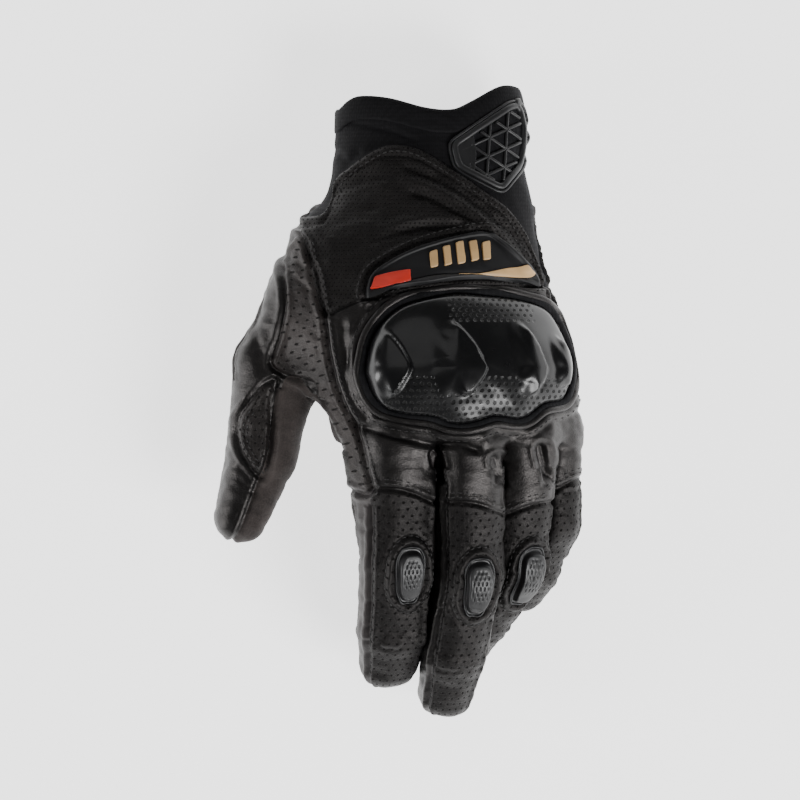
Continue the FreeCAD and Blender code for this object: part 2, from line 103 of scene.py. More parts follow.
# Distance along Y, left and right edge, centre Z, side slope, arch, half depth of the hand.
HAND_ROWS = (
    (-17.0, -22.0, 68.0, 48.0, 9.0, 15.0, 12.6),
    (-6.0, -27.0, 68.0, 49.0, 8.6, 15.0, 14.6),
    (4.0, -31.5, 67.0, 48.5, 8.0, 14.0, 15.6),
    (17.0, -36.5, 65.0, 46.5, 7.0, 12.0, 16.2),
    (31.0, -41.0, 61.2, 43.0, 7.0, 11.0, 17.0),
    (38.5, -43.5, 58.8, 40.6, 6.0, 10.5, 17.8),
    (45.0, -43.0, 56.8, 38.2, 5.0, 9.5, 18.4),
    (54.0, -41.8, 54.6, 34.6, 3.0, 8.5, 19.0),
    (60.0, -39.2, 53.6, 32.0, 2.5, 7.0, 19.4),
    (66.0, -36.2, 52.4, 29.6, 2.0, 5.0, 19.8),
    (73.0, -31.8, 52.2, 27.0, 2.0, 3.6, 20.2),
    (81.0, -27.6, 50.4, 24.2, 1.6, 2.2, 20.6),
    (92.0, -25.6, 48.6, 20.9, 1.2, 1.2, 20.8),
    (104.0, -24.6, 49.8, 18.2, 0.8, 0.4, 20.9),
    (122.0, -24.2, 46.6, 15.0, 0.4, 0.0, 20.9),
)
SLIT_TOPS = (-18.4, -20.5, -16.4)
SLIT_GAP = 3.0
# The perforated web that runs from the thumb's crotch down the side of the index finger:
# X, Y, Z and radius of its ends.
WEB = ((-11.0, -6.0, 46.0, 12.0), (-6.6, -50.0, 43.5, 8.4))


def unit(v):
    """The vector, or each row, with length one."""
    return v / np.linalg.norm(v, axis=-1, keepdims=True)


def smoothstep(x):
    """0 below 0, 1 above 1 and smooth between."""
    x = np.clip(x, 0, 1)
    return x * x * (3 - 2 * x)


def catmull(rows, at):
    """Smooth values of a table's columns at positions along its first column."""
    rows = np.array(rows, float)
    at = np.clip(at, rows[0, 0], rows[-1, 0])
    i = np.clip(np.searchsorted(rows[:, 0], at) - 1, 0, len(rows) - 2)
    before, here, there = rows[np.maximum(i - 1, 0)], rows[i], rows[i + 1]
    after = rows[np.minimum(i + 2, len(rows) - 1)]
    step = there[..., :1] - here[..., :1]
    t = (at[..., None] - here[..., :1]) / step
    slope0 = (there - before) / (there[..., :1] - before[..., :1]) * step
    slope1 = (after - here) / (after[..., :1] - here[..., :1]) * step
    value = (2 * t**3 - 3 * t**2 + 1) * here + (t**3 - 2 * t**2 + t) * slope0
    value += (3 * t**2 - 2 * t**3) * there + (t**3 - t**2) * slope1
    return value[..., 1:]


def fingertip(nodes, knuckle):
    """The far end of some CAD nodes seen from a knuckle, in design millimetres."""
    points = [v.co for node in nodes for v in frame["nodes"][node].data.vertices]
    points = np.array(points) / MM - HOME
    reach = np.linalg.norm(points - knuckle, axis=1)
    return points[reach > reach.max() - 0.8].mean(0)


class Chain:
    """A finger or thumb: a bent line of bones with an oval section."""

    def __init__(self, name, shape):
        parts = ("base", "middle", "tip") if name != "thumb" else ("base", "tip")
        joints = [JOINTS[f"{name}_{part}_bend"] for part in parts]
        knots = [np.array(j["pos_m"]) / MM - HOME for j in joints]
        self.axis = unit(np.array(joints[0]["axis"], float))
        knots.append(fingertip([f"{name}_tip_back", f"{name}_tip_front"], knots[-1]))
        if name == "thumb":
            knots.insert(0, np.array(shape["heel"]))
        shift = np.array([(x, 0, z) for x, z in shape["off"]])
        self.joints = np.array(knots) + shift
        self.wide, self.deep = np.array(shape["wide"]), np.array(shape["deep"])
        end = unit(self.joints[-1] - self.joints[-2])
        self.knots = self.joints.copy()
        self.knots[-1] -= end * (self.deep[-1] + shape["short"])
        self.along = unit(np.diff(self.joints, axis=0))
        self.lengths = np.linalg.norm(np.diff(self.knots, axis=0), axis=1)
        self.starts = np.concatenate([[0], np.cumsum(self.lengths)])
        self.back = unit(np.cross(self.along, self.axis))

    def bone(self, points, i):
        """Clipped distance along bone i, and the offsets across, back and beyond it."""
        rel = points - self.knots[i]
        raw = rel @ self.along[i]
        s = np.clip(raw, 0, self.lengths[i])
        across = unit(np.cross(self.back[i], self.along[i]))
        return s, rel @ across, rel @ self.back[i], raw - s

    def centre(self, s):
        """The middle at a distance along the chain, and the ways across and back there."""
        i = min(np.searchsorted(self.starts, s, "right") - 1, len(self.lengths) - 1)
        across = unit(np.cross(self.back[i], self.along[i]))
        return self.knots[i] + self.along[i] * (s - self.starts[i]), across, self.back[i]

    def distance(self, points, with_back=False):
        """Signed distance to the soft finger, about right near its skin."""
        total = above = None
        for i in range(len(self.lengths)):
            s, u, v, w = self.bone(points, i)
            t = s / self.lengths[i]
            a = self.wide[i] + (self.wide[i + 1] - self.wide[i]) * t
            b = self.deep[i] + (self.deep[i + 1] - self.deep[i]) * t
            pu, pv = np.abs(u / a) ** NORM, np.abs(v / b) ** NORM
            ring = (pu + pv) ** (1 / NORM)
            size = (a * pu + b * pv) / (pu + pv + 1e-9)
            reach = np.hypot(ring, w / np.minimum(a, b))
            d = (reach - 1) * size
            above = v if total is None else np.where(d < total, v, above)
            total = d if total is None else soft_min(total, d, 2.5)
        return (total, above) if with_back else total

    def local(self, points):
        """Distance along the whole chain, offsets across and back, and the section angle."""
        best = None
        for i in range(len(self.lengths)):
            s, u, v, w = self.bone(points, i)
            off = u * u + v * v + w * w
            row = np.stack([self.starts[i] + s + np.where(i == len(self.lengths) - 1, w, 0), u, v])
            if best is None:
                best, least = row, off
            else:
                closer = off < least
                best, least = np.where(closer, row, best), np.where(closer, off, least)
        s, u, v = best
        return s, u, v, np.degrees(np.arctan2(v, u))


def soft_min(a, b, k):
    """The lesser of two distances with a rounded inner corner of size k."""
    h = np.clip(0.5 + 0.5 * (b - a) / k, 0, 1)
    return b + (a - b) * h - k * h * (1 - h)


def hand_frame(points):
    """Section coordinates of points round the hand: u across, v up, half sizes."""
    row = catmull(HAND_ROWS, points[..., 1])
    left, right, centre_z, slope, arch, deep = np.moveaxis(row, -1, 0)
    half = (right - left) / 2
    u = (points[..., 0] - (left + right) / 2) / half
    inner = np.clip(u, -1.1, 1.1)
    middle = centre_z - slope * inner - arch * inner**2
    return u, (points[..., 2] - middle) / deep, half, deep


def hand_distance(points):
    """Signed distance to the palm and wrist, without fingers."""
    u, v, half, deep = hand_frame(points)
    pu, pv = np.abs(u) ** NORM, np.abs(v) ** NORM
    ring = (pu + pv + 1e-12) ** (1 / NORM)
    slope_u = (np.abs(u) / ring) ** (NORM - 1) / half
    slope_v = (np.abs(v) / ring) ** (NORM - 1) / deep
    d = (ring - 1) / np.maximum(np.hypot(slope_u, slope_v), 1 / 60)
    end = HAND_ROWS[0][0] + 2 - points[..., 1]
    return np.maximum(d, end) + np.clip(end + 3, 0, 6) ** 2 / 24


CHAINS = {name: Chain(name, shape) for name, shape in FINGERS.items()}
CHAINS["thumb"] = Chain("thumb", THUMB)
NAMES = list(FINGERS)


def web_distance(points):
    """Signed distance to the web beside the index finger, a tapered round bar."""
    (*a, thick), (*b, thin) = WEB
    a, way = np.array(a), np.array(b) - np.array(a)
    t = np.clip((points - a) @ way / (way @ way), 0, 1)
    return np.linalg.norm(points - a - t[..., None] * way, axis=-1) - thick + (thick - thin) * t


def skin_distance(points):
    """Signed distance to the whole glove skin."""
    apart, above = zip(*[CHAINS[name].distance(points, True) for name in NAMES])
    fingers = None
    for i, d in enumerate(apart):
        for j, top in ((i - 1, i - 1), (i + 1, i)):
            if 0 <= j < len(apart):
                closed = 1 - smoothstep((SLIT_TOPS[top] + 1 - points[..., 1]) / 3)
                gap = 0.4 + (SLIT_GAP - 0.4) * smoothstep((above[i] + 1) / 6)
                d = np.maximum(d, (apart[i] - apart[j] + gap) / 2 - closed * 12)
        fingers = soft_min(d, web_distance(points), 4.0) if fingers is None else np.minimum(fingers, d)
    body = soft_min(hand_distance(points), CHAINS["thumb"].distance(points), 17.0)
    return soft_min(body, fingers, 5.0)


def grid_mesh(distance, low, high, size):
    """Triangles of the zero surface of a distance function, sampled finely only near it."""
    low, high = np.array(low, float), np.array(high, float)
    step = size * COARSE
    counts = np.ceil((high - low) / step).astype(int) + 1
    axes = [low[i] + step * np.arange(counts[i]) + step / 2 - size / 2 for i in range(3)]
    rough = distance(np.stack(np.meshgrid(*axes, indexing="ij"), -1).reshape(-1, 3))
    values = np.repeat(rough.reshape(counts), COARSE, 0)
    values = np.repeat(np.repeat(values, COARSE, 1), COARSE, 2)
    near = np.argwhere(np.abs(values) < step * 1.6)
    for part in np.array_split(near, max(1, len(near) // 400000)):
        values[tuple(part.T)] = distance(low + part * size)
    grid = openvdb.FloatGrid()
    grid.copyFromArray(values.astype(np.float32))
    points, quads = grid.convertToQuads(isovalue=0.0)
    quads = quads.astype(np.int64)
    triangles = np.concatenate([quads[:, [0, 1, 2]], quads[:, [0, 2, 3]]])
    return low + points.astype(float) * size, triangles


def vertex_normals(points, triangles):
    """Unit normals of a triangle mesh."""
    a, b, c = (points[triangles[:, i]] for i in range(3))
    face = np.cross(b - a, c - a)
    total = np.zeros_like(points)
    for axis in range(3):
        for corner in range(3):
            total[:, axis] += np.bincount(triangles[:, corner], face[:, axis], len(points))
    return total / np.maximum(np.linalg.norm(total, axis=1, keepdims=True), 1e-9)


def relax(points, triangles, rounds, share=0.5):
    """Points moved part of the way to the mean of their neighbours, some rounds over."""
    pairs = np.concatenate([triangles[:, [i, (i + 1) % 3]] for i in range(3)])
    count = np.maximum(np.bincount(pairs[:, 0], minlength=len(points)), 1)
    for _ in range(rounds):
        mean = [np.bincount(pairs[:, 0], points[pairs[:, 1], k], len(points)) for k in range(3)]
        points = points + share * (np.stack(mean, -1) / count[:, None] - points)
    return points


def cut(table, triangles, column, where):
    """Splits triangles along the zero line of one column of the vertex table.

    Rows of the table hold everything known at a vertex, so a new vertex gets all of it."""
    value = table[:, column]
    side = value > 0
    chosen = where[triangles].all(1)
    crossed = chosen & (side[triangles].any(1) != side[triangles].all(1))
    keep, work = triangles[~crossed], triangles[crossed]
    if not len(work):
        return table, triangles, where
    mixed = side[work].sum(1) == 1
    lone = np.where(mixed, side[work].argmax(1), (~side[work]).argmax(1))
    turn = (lone[:, None] + np.arange(3)) % 3
    work = np.take_along_axis(work, turn, 1)
    edges = np.sort(np.concatenate([work[:, [0, 1]], work[:, [0, 2]]]), 1)
    edges, index = np.unique(edges, axis=0, return_inverse=True)
    index = index.reshape(-1)
    a, b = value[edges[:, 0]], value[edges[:, 1]]
    t = a / (a - b)
    fresh = (t > 0.12) & (t < 0.88)
    ids = np.where(t <= 0.12, edges[:, 0], edges[:, 1])
    ids[fresh] = len(table) + np.arange(fresh.sum())
    rows = table[edges[fresh, 0]] * (1 - t[fresh, None]) + table[edges[fresh, 1]] * t[fresh, None]
    rows[:, column] = 0
    count = len(work)
    p, q = ids[index[:count]], ids[index[count:]]
    split = np.concatenate([
        np.stack([work[:, 0], p, q], 1),
        np.stack([p, work[:, 1], work[:, 2]], 1),
        np.stack([p, work[:, 2], q], 1),
    ])
    sound = (split[:, 0] != split[:, 1]) & (split[:, 1] != split[:, 2]) & (split[:, 0] != split[:, 2])
    where = np.concatenate([where, np.ones(len(rows), bool)])
    return np.concatenate([table, rows]), np.concatenate([keep, split[sound]]), where


def linked(name, data):
    """A new object in the scene."""
    obj = bpy.data.objects.new(name, data)
    bpy.context.collection.objects.link(obj)
    return obj


def mesh_object(name, points, faces, material, uv=None, normals=None):
    """A smooth-shaded mesh object from design millimetres."""
    mesh = bpy.data.meshes.new(name)
    if isinstance(faces, np.ndarray):
        corners = faces.shape[1]
        mesh.vertices.add(len(points))
        mesh.vertices.foreach_set("co", ((points + HOME) * MM).astype(np.float32).ravel())
        mesh.loops.add(faces.size)
        mesh.loops.foreach_set("vertex_index", faces.astype(np.int32).ravel())
        mesh.polygons.add(len(faces))
        mesh.polygons.foreach_set("loop_start", np.arange(0, faces.size, corners, dtype=np.int32))
        mesh.update(calc_edges=True)
        mesh.validate()
    else:
        mesh.from_pydata(((np.array(points) + HOME) * MM).tolist(), [], faces)
    mesh.polygons.foreach_set("use_smooth", [True] * len(mesh.polygons))
    if uv is not None:
        layer = mesh.uv_layers.new(name="UVMap")
        loops = np.empty(len(mesh.loops), np.int32)
        mesh.loops.foreach_get("vertex_index", loops)
        layer.data.foreach_set("uv", uv[loops].astype(np.float32).ravel())
    if normals is not None:
        mesh.normals_split_custom_set_from_vertices(normals.tolist())
    mesh.update()
    mesh.materials.append(material)
    return linked(name, mesh)


# ---- the pattern: panels, seams and creases ---------------------------------------
# Outlines seen from above the back of the hand, as X, Y points that a smooth line joins.
CUFF_EDGE = (
    (-40, 70), (-30, 71), (-26.5, 75), (-23.8, 84.6), (-18.8, 89.6), (-14.6, 92.7), (-4.6, 97.7),
    (5.8, 96.9), (16.2, 91.5), (21.9, 87.7), (31.5, 81.2), (41.9, 73.1), (48, 64.6), (52, 54), (60, 30),
)
CUFF_EDGE_PALM = 76.0
CUFF_TOP = (
    (-30, 110), (-23.4, 112.4), (-20, 115.4), (-15.8, 117.2), (-4.6, 116.4), (11.2, 112.4), (21.2, 112.0),
    (28.5, 115.2), (40, 121.2), (46.2, 121.0), (50, 118),
)
CUFF_TOP_PALM = 113.0
WRIST_PANEL = (
    (-36, 60.5), (-34.5, 54), (-32, 44), (-28.3, 33.0), (-21, 35.6), (-12.7, 38.1), (11.9, 41.6),
    (35, 42.6), (56, 43.8), (72, 46), (74, 75), (60, 110), (20, 115), (-20, 110), (-40, 90), (-38.5, 70),
)
GUSSET = (
    (-41.5, 60), (-38, 63), (-34.8, 60.5), (-33.5, 54), (-31, 48), (-28.3, 33.2), (-26, 17), (-22, 2),
    (-14.8, -13.5), (-10.6, -30), (-9.4, -33), (-12.5, -36), (-24, -30), (-32, -12), (-31.5, 5.5),
    (-42, 9), (-49, 14), (-45.5, 25), (-43, 38), (-44.5, 53.5),
)
# The suede that folds up through the crotch of the thumb.
CROTCH = (
    (-52, -8), (-46.9, -0.8), (-44.4, 7.4), (-41.3, 9.0), (-36.5, 7.2), (-31.5, 1.8), (-27.7, -4.6),
    (-24.4, -10.4), (-21.6, -17), (-19.6, -25), (-26, -30), (-40, -24), (-50, -16),
)
THUMB_WINDOW = (
    (-58.4, -2.5), (-61.2, -8), (-61.6, -16), (-58.6, -23), (-53.0, -30), (-50.8, -24), (-49.6, -12),
    (-49.4, 0), (-47, 8), (-52, 6),
)
# Where the smooth knuckle leather meets the perforated finger back: X, Y and slope of the seam.
FINGER_SEAMS = {
    "index": (2.5, -34.6, -0.28), "middle": (28.0, -39.2, -0.2),
    "ring": (48.7, -40.8, 0.33), "little": (64.0, -32.5, 0.55),
}
GUARD_OUTLINE = (
    (-13.1, 11.9), (-10, 24.6), (-1.5, 34.6), (9.2, 38.5), (21.9, 40.4), (34.6, 39.8), (47.3, 37.9),
    (56.9, 34.2), (62.7, 24.6), (65.8, 14.2), (65, 5.4), (62.1, -0.4), (55, -1.5), (49.2, -6.2),
    (44.2, -7.3), (36.5, -6.2), (30.4, -8.1), (25, -9.2), (18.8, -8.8), (13.1, -6.2), (2.7, -5.4),
    (-5, -3.5), (-10, 1.5), (-12.7, 8.5),
)
BADGE_OUTLINE = (
    (-12.7, 38.8), (-12.1, 44.6), (-8.5, 50), (5, 57.7), (22.7, 63.1), (34.2, 64.8), (40.4, 61.2),
    (48.1, 53.5), (53.1, 47.1), (53.9, 44.2), (51.9, 44.2), (34.2, 46.0), (22.7, 45.8), (10.8, 44.2),
    (-1.2, 42.3), (-10.4, 39.6),
)
# Creases and folds: half width, depth and the line; a negative depth is a raised fold.
CREASES = (
    (1.5, 1.5, (
        (-18, -7), (-15.8, -9.6), (-10, -11.5), (-0.4, -14.1), (9.2, -16), (18.3, -16.7), (24, -17.2),
        (29.5, -18.8),
    )),
    (1.9, -0.8, (
        (-16, -5.4), (-10, -7.6), (-0.4, -10.2), (9.2, -12.2), (18.3, -12.9), (26, -13.2), (32, -14.4),
    )),
    (1.5, 0.7, ((19, -10.5), (28, -13.2), (36.5, -11.6), (44, -13), (49.5, -10.5))),
    (2.0, -0.5, ((49, -14), (54, -9.5), (60, -6.5))),
    (1.5, 0.7, ((-21, 28), (-19.5, 14), (-15.5, 2), (-11, -6))),
    (2.0, -0.8, ((-18, 30), (-16.6, 16), (-13.0, 4), (-8.5, -5))),
    (1.8, 1.2, ((4, 88.5), (18, 82.5), (32, 73), (44, 61), (50, 52))),
    (2.2, -1.2, ((2, 84.5), (17, 78.4), (30.5, 69.5), (42, 58), (47.5, 50))),
    (1.6, 1.1, ((6, 79.5), (18, 74.8), (29, 67.6), (37.5, 60))),
    (1.9, -0.9, ((-6, 66), (6, 68.6), (18, 69.4), (27, 67.0))),
    (1.6, 0.9, ((-10, 60), (2, 64.3), (14, 67), (24, 66.6))),
    (2.6, 0.6, ((-28, 66), (-16, 70), (-4, 75.5), (8, 77.5))),
    (2.4, 0.5, ((-27, 56), (-20, 58), (-12, 62), (-4, 68))),
    (2.4, 0.55, ((-30, 76), (-20, 81), (-8, 85), (4, 84))),
    (1.6, 0.9, ((-44, 56), (-40, 53), (-35, 50))),
    (1.5, 0.7, ((-43.5, 50), (-39, 46), (-34, 42))),
    (1.8, 0.7, ((-52, 38), (-54, 28), (-53, 16))),
    (1.5, 0.6, ((-60, -26), (-57, -30), (-53.5, -33))),
    (1.3, 0.5, ((-60.5, -31), (-58, -34), (-55, -36))),
    (1.2, 0.5, ((-24, 108), (-14, 106), (-2, 103), (6, 100))),
    (1.8, 0.8, ((-24.5, 96), (-20, 92), (-16, 95))),
)


def smooth_line(points, closed=False, per=8):
    """A Catmull-Rom line through some points."""
    p = np.array(points, float)
    n = len(p)
    spans = n if closed else n - 1
    t = (np.arange(per) / per)[:, None]
    out = []
    for i in range(spans):
        ids = [(i + k) % n if closed else min(max(i + k, 0), n - 1) for k in (-1, 0, 1, 2)]
        a, b, c, d = p[ids]
        cubic = (3 * b - a - 3 * c + d) * t**3
        out.append(0.5 * (2 * b + (c - a) * t + (2 * a - 5 * b + 4 * c - d) * t**2 + cubic))
    if not closed:
        out.append(p[-1:])
    return np.concatenate(out)


def line_distance(line, xy, closed=False, reach=9.0):
    """Distance to a line, at most the reach, negative inside if the line is closed."""
    far = np.full(len(xy), reach)
    near = ((xy > line.min(0) - reach) & (xy < line.max(0) + reach)).all(1)
    q = xy[near]
    a = line
    b = np.roll(line, -1, 0) if closed else line[1:]
    a = a[: len(b)]
    best, inside = np.full(len(q), reach**2), np.zeros(len(q), bool)
    for p0, p1 in zip(a, b):
        d = p1 - p0
        t = np.clip(((q - p0) @ d) / max(d @ d, 1e-9), 0, 1)
        best = np.minimum(best, ((q - p0 - t[:, None] * d) ** 2).sum(1))
        if closed:
            hit = (p0[1] > q[:, 1]) != (p1[1] > q[:, 1])
            x = p0[0] + d[0] * (q[:, 1] - p0[1]) / (d[1] if abs(d[1]) > 1e-9 else 1e-9)
            inside ^= hit & (q[:, 0] < x)
    far[near] = np.sqrt(best) * np.where(inside, -1, 1)
    return far


def outline_distance(outline, xy):
    """Signed distance to a smooth closed outline."""
    return line_distance(smooth_line(outline, True, 6), xy, True)


def table_value(rows, x):
    """A smooth value read from X, value rows."""
    return catmull(rows, np.atleast_1d(x).astype(float))[..., 0]


# Where the thumb leaves the hand, a point and the way across, and the Y where the fingers do.
THUMB_CUT = np.array((-31.5, 1.5)), unit(np.array((-0.19, -0.982)))
FINGER_CUT = -19.4
# How far round a finger its side seams lie from the middle of its back, and its radius there.
SIDE_ANGLE, SIDE_RADIUS = 58.0, 11.0
WAVES = 28


class Place:
    """Where points lie on the glove: which zone, and their coordinates in it."""

    def __init__(self, points):
        self.points = points
        x, y = points[:, 0], points[:, 1]
        _, v, _, deep = hand_frame(points)
        self.up = v * deep
        distances = np.stack([CHAINS[n].distance(points) for n in NAMES])
        self.finger = distances.argmin(0)
        thumb = CHAINS["thumb"].distance(points)
        self.thumb_side = (points[:, :2] - THUMB_CUT[0]) @ THUMB_CUT[1]
        is_thumb = (thumb < distances.min(0)) & (x < -26) & (self.thumb_side > 0)
        self.near_thumb = (thumb < 4) & (x < -26)
        self.below = FINGER_CUT - y
        self.zone = np.where(is_thumb, 4, np.where((self.below > 0) & (x > -27), self.finger, 5))
        self.s, self.across, self.back, self.angle = (np.zeros(len(x)) for _ in range(4))
        for i, name in enumerate([*NAMES, "thumb"]):
            mine = self.zone == i if i < 4 else self.near_thumb
            if mine.any():
                s, a, b, angle = CHAINS[name].local(points[mine])
                self.s[mine], self.across[mine], self.back[mine], self.angle[mine] = s, a, b, angle


def side_field(place, mask):
    """Millimetres beyond the side seams of a finger back, for points on one finger."""
    away = np.abs((place.angle - 90 + 180) % 360 - 180)
    return np.where(mask, np.radians(away - SIDE_ANGLE) * SIDE_RADIUS, -9)


def seam_y(name, x):
    """Height of the seam across a finger back."""
    x0, y0, slope = FINGER_SEAMS[name]
    return y0 + slope * (x - x0) - 0.018 * (x - x0) ** 2


def soft_noise(points, size, seed):
    """Smooth random lumps from about -1 to 1 of one size."""
    random = np.random.default_rng(seed)
    waves = unit(random.normal(size=(WAVES, 3))) * (2 * np.pi / size) * random.uniform(0.6, 1.5, (WAVES, 1))
    phase = random.uniform(0, 2 * np.pi, WAVES)
    total = np.zeros(len(points))
    for wave, start in zip(waves, phase):
        total += np.sin(points @ wave + start)
    return total / np.sqrt(WAVES)


# ---- materials -----------------------------------------------------------------------


class Nodes:
    """Short calls for building one material's nodes."""

    def __init__(self, name, **sockets):
        self.material = bpy.data.materials.new(name)
        self.material.use_nodes = True
        self.tree = self.material.node_tree
        self.shader = self.tree.nodes["Principled BSDF"]
        for key, value in sockets.items():
            self.shader.inputs[key.replace("_", " ")].default_value = value

    def add(self, kind, values=(), **settings):
        """A node with its settings and its inputs, each a value or another socket."""
        node = self.tree.nodes.new(kind)
        for key, value in settings.items():
            setattr(node, key, value)
        for key, value in dict(values).items():
            if isinstance(value, bpy.types.NodeSocket):
                self.tree.links.new(value, node.inputs[key])
            else:
                node.inputs[key].default_value = value
        return node

    def math(self, operation, a, b=0.0, c=0.0):
        """The value of one sum."""
        return self.add("ShaderNodeMath", {0: a, 1: b, 2: c}, operation=operation).outputs[0]

    def place(self):
        """Where the shaded point is on the piece, in metres."""
        return self.add("ShaderNodeTexCoord").outputs["Object"]

    def noise(self, scale, detail, stretch=None):
        """Noise of about one lump per 1/scale metres."""
        vector = self.place()
        if stretch:
            vector = self.add("ShaderNodeMapping", {"Vector": vector, "Scale": stretch}).outputs[0]
        values = {"Vector": vector, "Scale": scale, "Detail": detail}
        return self.add("ShaderNodeTexNoise", values).outputs["Fac"]

    def cells(self, scale):
        """Distance to the edge of small cells, as in leather grain."""
        values = {"Vector": self.place(), "Scale": scale}
        return self.add("ShaderNodeTexVoronoi", values, feature="DISTANCE_TO_EDGE").outputs["Distance"]

    def ramp(self, value, *stops):
        """A colour or grey for each level of a value."""
        node = self.add("ShaderNodeValToRGB", {"Fac": value})
        elements = node.color_ramp.elements
        for i, (at, colour) in enumerate(stops):
            element = elements[i] if i < 2 else elements.new(at)
            element.position = at
            element.color = (*colour, 1) if isinstance(colour, tuple) else (colour,) * 3 + (1,)
        return node.outputs["Color"]

    def mix(self, share, a, b):
        """A colour between two."""
        node = self.add("ShaderNodeMix", {"Factor": share}, data_type="RGBA")
        for key, value in ((6, a), (7, b)):
            if isinstance(value, bpy.types.NodeSocket):
                self.tree.links.new(value, node.inputs[key])
            else:
                node.inputs[key].default_value = (*value, 1)
        return node.outputs[2]

    def holes(self, pitch, radius, long=1.0):
        """1 inside a staggered grid of punched holes measured in the UV map's millimetres."""
        uv = self.add("ShaderNodeUVMap").outputs[0]
        split = self.add("ShaderNodeSeparateXYZ", {0: uv})
        row = self.math("DIVIDE", split.outputs[1], pitch * 0.87)
        index = self.math("FLOOR", row)
        odd = self.math("MULTIPLY", self.math("FLOORED_MODULO", index, 2.0), 0.5)
        column = self.math("ADD", self.math("DIVIDE", split.outputs[0], pitch), odd)
        x = self.math("MULTIPLY", self.math("SUBTRACT", self.math("FRACT", column), 0.5), pitch)
        y = self.math("MULTIPLY", self.math("SUBTRACT", self.math("FRACT", row), 0.5), pitch * 0.87 / long)
        away = self.math("SQRT", self.math("ADD", self.math("MULTIPLY", x, x), self.math("MULTIPLY", y, y)))
        soft = self.math("SUBTRACT", radius + 0.12, away)
        return self.add("ShaderNodeClamp", {0: self.math("DIVIDE", soft, 0.24)}).outputs[0]

    def finish(self, colour=None, rough=None, bumps=()):
        """Links colour, roughness and a chain of bumps: height, strength, distance."""
        if colour is not None:
            self.tree.links.new(colour, self.shader.inputs["Base Color"])
        if rough is not None:
            self.tree.links.new(rough, self.shader.inputs["Roughness"])
        normal = None
        for height, strength, distance in bumps:
            values = {"Height": height, "Strength": strength, "Distance": distance}
            if normal is not None:
                values["Normal"] = normal
            normal = self.add("ShaderNodeBump", values).outputs[0]
        if normal is not None:
            self.tree.links.new(normal, self.shader.inputs["Normal"])
        return self.material


def leather(name, dark, light, rough, pitch=0.0, radius=0.45, grain=1.0, long=1.0, gloss=0.36):
    """Grained leather, punched with small holes where it has a pitch."""
    n = Nodes(name, Specular_IOR_Level=gloss, Specular_Tint=(1.0, 0.94, 0.92, 1))
    cells = n.cells(1150)
    patches = n.noise(60, 4)
    fine = n.noise(2600, 2)
    streaks = n.noise(260, 5, (1.0, 2.6, 1.0))
    colour = n.ramp(patches, (0.35, dark), (0.7, light))
    roughness = n.math("MULTIPLY_ADD", n.noise(180, 4), 0.22, rough - 0.11)
    creased = n.ramp(cells, (0.0, 0.0), (0.16, 1.0))
    bumps = [(streaks, 0.30 * grain, 0.0006), (creased, 0.26 * grain, 0.00016), (fine, 0.2 * grain, 0.00008)]
    if pitch:
        hole = n.holes(pitch, radius, long)
        # Painted shade: inside each punched hole the colour goes near black for the shade that falls into
        # it.
        colour = n.mix(hole, colour, (0.001, 0.001, 0.001))
        roughness = n.math("MULTIPLY_ADD", hole, 0.4, roughness)
        bumps.append((n.math("MULTIPLY", hole, -1.0), 0.9, 0.0005))
    return n.finish(colour, roughness, bumps)


def suede():
    """Short-napped suede with lighter rubbed patches."""
    n = Nodes("palm_suede", Specular_IOR_Level=0.15, Sheen_Weight=0.15, Sheen_Roughness=0.5)
    colour = n.ramp(n.noise(95, 6), (0.3, (0.017, 0.014, 0.0132)), (0.72, (0.045, 0.037, 0.0345)))
    nap = n.noise(1500, 4)
    colour = n.mix(n.ramp(nap, (0.35, 0.0), (0.8, 0.5)), colour, (0.075, 0.063, 0.059))
    rough = n.math("MULTIPLY_ADD", nap, 0.12, 0.82)
    return n.finish(colour, rough, [(nap, 0.5, 0.00025), (n.noise(300, 4), 0.3, 0.0005)])


def knit(name, dark, light, scale=1.0):
    """Fine stretch knit: tiny wales with a soft sheen."""
    n = Nodes(
        name, Specular_IOR_Level=0.2, Sheen_Weight=0.03, Sheen_Roughness=0.4, Sheen_Tint=(0.8, 0.78, 0.9, 1),
    )
    wales = (1450 * scale, 620 * scale, 1450 * scale)
    turned = n.add("ShaderNodeMapping", {"Vector": n.place(), "Scale": wales}).outputs[0]
    values = {"Vector": turned, "Scale": 1.0, "Randomness": 0.25}
    stitch = n.add("ShaderNodeTexVoronoi", values).outputs["Distance"]
    colour = n.ramp(n.noise(70, 5), (0.3, dark), (0.72, light))
    colour = n.mix(n.ramp(stitch, (0.2, 0.0), (0.75, 0.7)), colour, tuple(0.35 * c for c in dark))
    rough = n.math("MULTIPLY_ADD", stitch, 0.12, 0.74)
    return n.finish(colour, rough, [(stitch, 0.5, 0.00025), (n.noise(420, 3), 0.25, 0.0005)])


def moulded(name, colour, rough, texture, strength, **sockets):
    """Moulded rubber or plastic with a faint surface texture."""
    n = Nodes(name, **sockets)
    lighter = tuple(c * 1.35 + 0.002 for c in colour)
    tone = n.ramp(n.noise(140, 4), (0.3, colour), (0.75, lighter))
    roughness = n.math("MULTIPLY_ADD", n.noise(260, 4), 0.12, rough - 0.06)
    return n.finish(tone, roughness, [(n.noise(texture, 2), strength, 0.00012)])


def thread():
    """Twisted thread with a slight shine."""
    n = Nodes("thread", Specular_IOR_Level=0.4)
    twist = n.noise(3000, 1, (1, 3, 1))
    colour = n.ramp(twist, (0.3, (0.008, 0.0078, 0.008)), (0.8, (0.03, 0.028, 0.0275)))
    rough = n.math("MULTIPLY_ADD", twist, 0.2, 0.42)
    return n.finish(colour, rough, [(twist, 0.4, 0.0002)])


